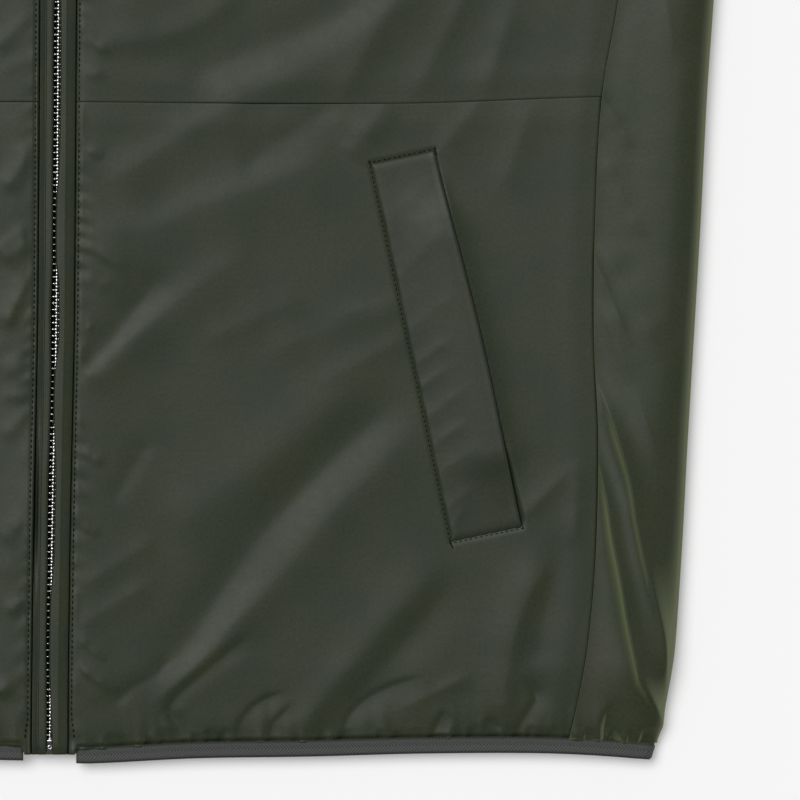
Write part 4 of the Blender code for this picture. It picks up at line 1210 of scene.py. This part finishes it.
def metal_round(name, path, radius, closed, metal, sides=10):
    """A round wire along a path of points."""
    path = np.asarray(path, float)
    ahead = np.roll(path, -1, axis=0) - np.roll(path, 1, axis=0)
    if not closed:
        ahead[0], ahead[-1] = path[1] - path[0], path[-1] - path[-2]
    ahead /= np.linalg.norm(ahead, axis=1)[:, None]
    up = np.array([0, 0, 1.0])
    sideways = np.cross(ahead, up)
    turn = np.linspace(0, 2 * math.pi, sides, endpoint=False)[None, :, None]
    ring = path[:, None] + radius * (np.cos(turn) * sideways[:, None] + np.sin(turn) * up)
    count = len(path)
    index = np.arange(count * sides).reshape(count, sides)
    faces = []
    for i in range(count if closed else count - 1):
        for k in range(sides):
            a, b = index[i], index[(i + 1) % count]
            faces.append((a[k], b[k], b[(k + 1) % sides], a[(k + 1) % sides]))
    if not closed:
        faces += [tuple(index[0]), tuple(index[-1][::-1])]
    points = (ring.reshape(-1, 3) + [0, -GARMENT_LENGTH / 2, 0]) * MM
    mesh = bpy.data.meshes.new(name)
    mesh.from_pydata(points.tolist(), [], [tuple(int(v) for v in f) for f in faces])
    mesh.shade_smooth()
    mesh.materials.append(metal)
    made = bpy.data.objects.new(name, mesh)
    bpy.context.collection.objects.link(made)
    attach(made, "gilet")
    return made


foot_x = zip_middle(7.0)
pin_path = [(foot_x + x, 9.9, 6.9) for x in (-1.3, -0.6, 0.6, 1.3)]
metal_round("zip_pin_collar", pin_path, 0.5, False, silver)
around = np.linspace(0, 2 * math.pi, 20, endpoint=False)
ring_x, ring_h = foot_x + 0.75 * np.cos(around), 7.1 + 0.75 * np.sin(around)
ring_path = np.stack([ring_x, ring_h, np.full_like(around, 7.0)], axis=-1)
metal_round("zip_box_ring", ring_path, 0.2, True, silver)

# Zip lips: narrow folded strips of the shell cloth that lie over the tapes on both sides of the teeth.
# Each has a raised welt next to the teeth and a lower strip that goes under the front edge.

LIP_OUTER = 7.7
LIP_RIDGE = {1: 3.9, -1: 5.0}
SLIDER_MID, SLIDER_LONG = 645.0, 11.0
GapPlace = namedtuple("GapPlace", "height left right")
ZIP_GAP = [
    GapPlace(0, 1.3, 1.1),
    GapPlace(12, 1.3, 0.8),
    GapPlace(40, 1.6, -0.45),
    GapPlace(70, 1.7, -0.45),
    GapPlace(88, 1.8, 0.8),
    GapPlace(104, 1.95, 0.95),
    GapPlace(126, 2.0, 0.95),
    GapPlace(139, 1.8, 0.2),
    GapPlace(152, 1.7, -0.45),
    GapPlace(168, 1.7, -0.45),
    GapPlace(180, 2.1, 0.9),
    GapPlace(196, 2.35, 1.05),
    GapPlace(208, 2.0, 0.8),
    GapPlace(218, 1.7, -0.4),
    GapPlace(244, 1.7, -0.4),
    GapPlace(256, 1.8, 0.5),
    GapPlace(282, 1.8, 1.0),
    GapPlace(316, 1.9, 1.0),
    GapPlace(332, 1.7, 0.7),
    GapPlace(372, 1.7, -0.4),
    GapPlace(430, 1.9, 1.0),
    GapPlace(490, 1.7, -0.4),
    GapPlace(550, 1.9, 1.0),
    GapPlace(600, 1.5, 0.3),
    GapPlace(660, 1.8, 1.0),
]
LIP_WELT_LEVEL, LIP_SHELL = 8.7, 1.1
STRIP_AT_RIDGE = {1: 8.5, -1: 7.4}
STRIP_AT_EDGE = {1: 7.6, -1: 8.0}


def zip_lip(side, name):
    """Rows run up the zip, columns from the teeth to under the front edge."""
    height = np.linspace(ZIP_END, ZIP_TOP, 520)[:, None]
    inner = read_table(ZIP_GAP, "height", "right" if side > 0 else "left", height)
    parted = 1 - ease((np.abs(height - SLIDER_MID) - SLIDER_LONG) / 12)
    inner = mix(inner, 5.8, parted)
    ridge = np.maximum(LIP_RIDGE[side], inner + 0.6)
    t = np.linspace(0, 1, 12)[None, :]
    welt = mix(inner, ridge, ease(t) * 0.4 + t * 0.6)
    strip = mix(ridge, LIP_OUTER, np.linspace(0, 1, 11)[None, 1:])
    offset = np.concatenate([welt, strip], axis=1)
    sway = 0.10 * np.sin(height / 8.3 + side) + 0.08 * np.sin(height / 21 + 2 * side)
    on_welt = ease((ridge + 0.1 - offset) / 0.3)
    round_edge = -1.1 * np.exp(-((offset - inner) / 0.35) ** 2)
    outward = np.clip((offset - ridge) / (LIP_OUTER - ridge), 0, 1)
    strip_level = mix(STRIP_AT_RIDGE[side], STRIP_AT_EDGE[side], outward)
    pressed = -1.4 * ease((offset - 5.8) / 1.2) * np.exp(-((height - 112) / 28) ** 2) * (side < 0)
    level = mix(strip_level, LIP_WELT_LEVEL, on_welt) + round_edge + pressed + sway
    level = level - 0.9 * (1 - ease((height - ZIP_END) / 4))
    width = zip_middle(height) + side * offset
    height = np.repeat(height, offset.shape[1], axis=1)
    outer = np.stack([width, height, level], axis=-1)
    inner_points = np.stack([width, height, level - LIP_SHELL], axis=-1)
    cut = np.stack([offset * side + 200, height], axis=-1)
    return cloth_shell(name, outer, inner_points, cut, shell_cloth), cut


for side, name in ((1, "left"), (-1, "right")):
    lip, cut = zip_lip(side, "zip_lip_wearer_" + name)
    lay(lip, "zip_lip_" + name)

# Slider and pull tab: plated castings. The tab hangs in the slider's bridge and swings on it.

bevelled("zip_slider", "zip_slider_body", "gilet", silver, 0.3)
bevelled("zip_pull", "zip_pull_tab", "zip_pull", silver, 0.25)

# Collar: a stand collar in one padded strip of the shell cloth, from one side of the zip to the other.
# It is sewn into the neck seam and topstitched along its top edge.

COLLAR_FRONT_TOP, COLLAR_TOP, COLLAR_BACK_DIP = 664.0, 735.0, 14.0
COLLAR_LEVEL, COLLAR_FLARE, COLLAR_HALF = 7.6, 3.0, 1.9
COLLAR_CREASES = [
    Crease(40, 10, 70, 50, 2, 6, 9, 0.8),
    Crease(110, 12, 96, 52, -2, 8, 6, 0.9),
    Crease(205, 8, 222, 46, 2, 7, 7, 0.7),
    Crease(300, 12, 318, 54, 0, 7, 8, 0.9),
    Crease(378, 10, 352, 50, 2, 8, 6, 0.8),
]


def fold_turn(turn_x, high, low, count):
    """Points (across, level) round a side fold between two levels."""
    radius = (high - low) / 2
    turn = np.linspace(0, math.pi, count + 2)[1:-1]
    return np.stack([turn_x + radius * np.sin(turn), low + radius + radius * np.cos(turn)], axis=-1)


def collar_half(side):
    """Low and high edge of the collar, from the zip to the middle of the back."""
    count = 60
    low = neck_curve(side, count, SEAM_GAP)
    start = zip_middle(COLLAR_FRONT_TOP) + side * FRONT_EDGE
    turn = np.linspace(0, math.pi / 2, count)
    high = np.stack([start + (side * (NECK_WIDTH + COLLAR_FLARE) - start) * np.sin(turn),
                     mix(COLLAR_FRONT_TOP, COLLAR_TOP, 1 - np.cos(turn))], axis=-1)
    level = np.full((count, 1), COLLAR_LEVEL)
    low, high = np.concatenate([low, level], axis=1), np.concatenate([high, level], axis=1)
    bend = fold_turn(NECK_WIDTH, COLLAR_LEVEL, BACK_WALL / 2, 12)
    u = np.linspace(1, 0, 40)
    sag = 1 - u * u
    behind = np.full_like(u, BACK_WALL / 2)
    low = np.concatenate([low, [(side * x, NECK_POINT + SEAM_GAP, z) for x, z in bend], np.stack(
        [side * u * NECK_WIDTH, NECK_POINT + SEAM_GAP - BACK_NECK_DIP * sag, behind], axis=-1)])
    high = np.concatenate([high, [(side * (x + COLLAR_FLARE), COLLAR_TOP, z) for x, z in bend], np.stack(
        [side * u * (NECK_WIDTH + COLLAR_FLARE), COLLAR_TOP - COLLAR_BACK_DIP * sag, behind], axis=-1)])
    return low, high


def band_frame(low, high, shares):
    """Middle surface of a band, its outward direction, and its flat cut."""
    middle = mix(low[None], high[None], shares[:, None, None])
    along = np.gradient(middle, axis=1)
    outward = np.cross(along, (high - low)[None])
    outward /= np.linalg.norm(outward, axis=-1)[..., None]
    centre = (low + high) / 2
    run = np.concatenate([[0], np.cumsum(np.linalg.norm(np.diff(centre, axis=0), axis=1))])
    rise = np.linalg.norm(high - low, axis=1)
    cut = np.stack([np.repeat(run[None], len(shares), axis=0), shares[:, None] * rise[None]], axis=-1)
    return middle, outward, cut


low, high = collar_half(1)
low_end, high_end = collar_half(-1)
low, high = np.concatenate([low, low_end[-2::-1]]), np.concatenate([high, high_end[-2::-1]])
shares = graded(65, 0.4, 2.2)
middle, outward, cut = band_frame(low, high, shares)
from_low, from_top = cut[..., 1], cut[-1:, :, 1] - cut[..., 1]
from_zip = np.minimum(cut[..., 0], cut[0, -1, 0] - cut[..., 0])
plump = 1 - 0.5 * np.exp(-(from_low / 1.6) ** 2) - 0.6 * np.exp(-(from_top / 0.9) ** 2) \
    - 0.25 * np.exp(-((from_top - 5) / 0.6) ** 2) - 0.6 * np.exp(-(from_zip / 0.8) ** 2)
relief = np.minimum(crease_relief(COLLAR_CREASES, cut[..., 0], cut[..., 1]), 1.2)
relief = relief * ease(from_top / 8) - 0.4
outer = middle + outward * (COLLAR_HALF * plump + 0.4 * relief)[..., None]
outer[..., 2] = np.maximum(outer[..., 2], 0)
inner = middle - outward * (COLLAR_HALF * 0.9 * plump)[..., None]
collar = cloth_shell("collar_strip", outer, inner, cut, shell_cloth)
lay(collar, "collar")
row = int(np.argmin(np.abs(shares - 0.92)))
stitch_row = (outer[row] + outward[row] * 0.1)[2:-2]
sew("stitches_collar", [stitch_row])

# Bindings: flat elastic braid with a herringbone face, sewn over the raw edges of hem and armholes.
# It is stretched a little as it is sewn on, so it draws the cloth in.

BINDING_THICK = 2.4
BINDING_START = 11.5


def herringbone_braid():
    """Charcoal braid: two rows of slanting ribs that meet in the middle, painted darker along both edges
    as painted shade where the band rounds away.
    """
    made = bpy.data.materials.new("charcoal_braid")
    made.use_nodes = True
    nodes, links = made.node_tree.nodes, made.node_tree.links
    shader = nodes["Principled BSDF"]
    shader.inputs["Roughness"].default_value = 0.62
    shader.inputs["Specular IOR Level"].default_value = 0.3
    place = nodes.new("ShaderNodeUVMap")
    place.uv_map = "cut"
    split = nodes.new("ShaderNodeSeparateXYZ")
    links.new(place.outputs["UV"], split.inputs["Vector"])

    def maths(operation, first, second):
        node = nodes.new("ShaderNodeMath")
        node.operation = operation
        for socket, value in zip(node.inputs, (first, second)):
            if isinstance(value, float):
                socket.default_value = value
            else:
                links.new(value, socket)
        return node.outputs["Value"]

    from_middle = maths("ABSOLUTE", maths("SUBTRACT", split.outputs["Y"], BINDING_WIDTH * MM / 2), 0.0)
    slant = maths("ADD", split.outputs["X"], from_middle)
    rib = maths("SINE", maths("MULTIPLY", slant, 2 * math.pi / (1.45 * MM)), 0.0)
    height = maths("MULTIPLY_ADD", rib, 0.5)
    # Painted shade: the braid's colour darkens towards both edges of the band.
    painted_edge_shade = nodes.new("ShaderNodeMapRange")
    painted_edge_shade.inputs["From Min"].default_value = BINDING_WIDTH * MM / 2 - 1.3 * MM
    painted_edge_shade.inputs["From Max"].default_value = BINDING_WIDTH * MM / 2 - 0.5 * MM
    links.new(from_middle, painted_edge_shade.inputs["Value"])
    yarn = nodes.new("ShaderNodeTexNoise")
    yarn.inputs["Scale"].default_value = 1400
    links.new(place.outputs["UV"], yarn.inputs["Vector"])
    colours = nodes.new("ShaderNodeValToRGB")
    colours.color_ramp.elements[0].position = 0.1
    colours.color_ramp.elements[0].color = (0.026, 0.028, 0.026, 1)
    colours.color_ramp.elements[1].position = 0.9
    colours.color_ramp.elements[1].color = (0.066, 0.070, 0.066, 1)
    links.new(maths("ADD", maths("MULTIPLY", rib, 0.42), yarn.outputs["Fac"]), colours.inputs["Fac"])
    edge = nodes.new("ShaderNodeMix")
    edge.data_type = "RGBA"
    links.new(painted_edge_shade.outputs["Result"], edge.inputs["Factor"])
    links.new(colours.outputs["Color"], edge.inputs[6])
    edge.inputs[7].default_value = (0.022, 0.023, 0.021, 1)
    links.new(edge.outputs[2], shader.inputs["Base Color"])
    bump = nodes.new("ShaderNodeBump")
    bump.inputs["Strength"].default_value = 0.5
    bump.inputs["Distance"].default_value = 0.0003
    links.new(height, bump.inputs["Height"])
    links.new(bump.outputs["Normal"], shader.inputs["Normal"])
    return made


braid = herringbone_braid()


def binding(name, low, high, outward_sign, node):
    """A band of braid along two edge lines, plump in the middle and round at its edges."""
    shares = graded(BINDING_WIDTH, 0.25, 0.9)
    middle, outward, cut = band_frame(low, high, shares)
    outward = outward * outward_sign
    across = cut[..., 1]
    from_edge = np.minimum(across, BINDING_WIDTH - across)
    thick = BINDING_THICK / 2 * (1 - 0.55 * np.exp(-(np.maximum(from_edge, 0) / 0.6) ** 2))
    thick = thick - 0.10 * np.exp(-((across - BINDING_WIDTH / 2) / 0.5) ** 2)
    outer = middle + outward * thick[..., None]
    inner = middle - outward * thick[..., None]
    made = cloth_shell(name, outer, inner, cut, braid)
    lay(made, node)
    return made


def hem_path():
    """The binding's middle line: from the zip, round one side, the back and the other side, to the zip."""
    front, behind = HEM_HEIGHT - BINDING_THICK / 2, BINDING_THICK / 2
    turn = side_edge(0) - SEAM_GAP - HEM_HEIGHT / 2
    start = zip_middle(0)
    bend = fold_turn(turn, front, behind, 9)
    x = np.linspace(start + BINDING_START, turn, 170)
    right = np.concatenate([np.stack([x, np.full_like(x, front)], axis=-1), bend])
    x = np.linspace(turn, -turn, 200)
    across = np.stack([x, np.full_like(x, behind)], axis=-1)
    x = np.linspace(-turn, start - BINDING_START, 170)
    left = np.concatenate([bend[::-1] * [-1, 1], np.stack([x, np.full_like(x, front)], axis=-1)])
    return np.concatenate([right, across, left])


path = hem_path()
rise = back_rise(path[:, 0]) * ease((3 - path[:, 1]) / 2)
drawn = np.sign(path[:, 0]) * 2.2 * ease((np.abs(path[:, 0]) - 240) / 15)
low = np.stack([path[:, 0] - drawn, hem_low(path[:, 0]) + rise, path[:, 1]], axis=-1)
high = np.stack([path[:, 0], hem_seam(path[:, 0]) + rise, path[:, 1]], axis=-1)
binding("hem_binding_braid", low, high, 1, "hem_binding")

ARMHOLE_GAP = 0.7


def armhole_path(side):
    """Both edges of the binding: up the front of the armhole, over the shoulder and down the back."""
    front, behind = HEM_HEIGHT - BINDING_THICK / 2, BINDING_THICK / 2
    halves = []
    for points, level in ((FRONT_ARMHOLE, front), (BACK_ARMHOLE, behind)):
        line = armhole_line(points, 0, len(points) - 1, 110)
        ahead = np.gradient(line, axis=0)
        ahead[0] = (-1, 0)
        ahead /= np.linalg.norm(ahead, axis=1)[:, None]
        out = np.stack([ahead[:, 1], -ahead[:, 0], np.zeros(len(line))], axis=-1)
        halves.append((np.concatenate([line, np.full((len(line), 1), level)], axis=1), out))
    (front_line, front_out), (back_line, back_out) = halves
    over = fold_turn(0, front, behind, 9)
    shoulder = [(front_line[-1, 0], front_line[-1, 1] + dy, z) for dy, z in over]
    under = [(front_line[0, 0] + dx, front_line[0, 1], z) for dx, z in over[::-1]]
    middle = np.concatenate([front_line, shoulder, back_line[::-1], under])
    out = np.concatenate([front_out, np.repeat(front_out[-1:], 9, axis=0), back_out[::-1],
                          np.repeat(front_out[:1], 9, axis=0)])
    mirror = np.array([side, 1, 1])
    return (middle + out * ARMHOLE_GAP) * mirror, (middle + out * (ARMHOLE_GAP + BINDING_WIDTH)) * mirror


for side, name in ((1, "left"), (-1, "right")):
    low, high = armhole_path(side)
    binding("armhole_braid_wearer_" + name, low, high, -side, "armhole_binding_" + name)

# Floor, light and camera: a pale surface under even light, with a soft light from the upper left and
# a weak low one from the right. The camera looks straight down on the lower front, as in the photo.

CAMERA_HEIGHT = 2.4
VIEW_WIDTH = 0.3456
VIEW_MIDDLE = (0.1490, -0.2103)
CLOTH_LEVEL = 0.009

floor_mesh = bpy.data.meshes.new("floor")
floor_mesh.from_pydata([(-6, -6, 0), (6, -6, 0), (6, 6, 0), (-6, 6, 0)], [], [(0, 1, 2, 3)])
paper = bpy.data.materials.new("pale_paper")
paper.use_nodes = True
paper_shader = paper.node_tree.nodes["Principled BSDF"]
paper_shader.inputs["Base Color"].default_value = (0.66, 0.66, 0.66, 1)
paper_shader.inputs["Emission Color"].default_value = (1, 1, 1, 1)
paper_shader.inputs["Emission Strength"].default_value = 0.25
paper_shader.inputs["Roughness"].default_value = 0.9
paper_shader.inputs["Specular IOR Level"].default_value = 0.1
floor_mesh.materials.append(paper)
floor = bpy.data.objects.new("floor", floor_mesh)
floor.location.z = -0.0002
bpy.context.collection.objects.link(floor)

world = bpy.data.worlds.new("studio")
world.use_nodes = True
world.node_tree.nodes["Background"].inputs["Color"].default_value = (1, 1, 1, 1)
world.node_tree.nodes["Background"].inputs["Strength"].default_value = 0.26
bpy.context.scene.world = world


def soft_sun(name, from_direction, strength, spread):
    """An even soft light from one direction, as from a large distant softbox."""
    lamp = bpy.data.lights.new(name, "SUN")
    lamp.energy = strength
    lamp.angle = math.radians(spread)
    made = bpy.data.objects.new(name, lamp)
    across, up, tilt = from_direction
    made.rotation_euler = (0, math.radians(tilt), math.atan2(up, across))
    bpy.context.collection.objects.link(made)
    return made


soft_sun("key_light", (-1, 1, 31), 2.55, 42)
soft_sun("edge_light", (1, -0.2, 72), 0.60, 50)

camera_data = bpy.data.cameras.new("photo_camera")
camera_data.sensor_width = 36
camera_data.lens = 36 * (CAMERA_HEIGHT - CLOTH_LEVEL) / VIEW_WIDTH
camera_data.clip_end = 50
camera = bpy.data.objects.new("photo_camera", camera_data)
camera.location = (*VIEW_MIDDLE, CAMERA_HEIGHT)
bpy.context.collection.objects.link(camera)
bpy.context.scene.camera = camera
bpy.context.scene.view_settings.view_transform = "Standard"
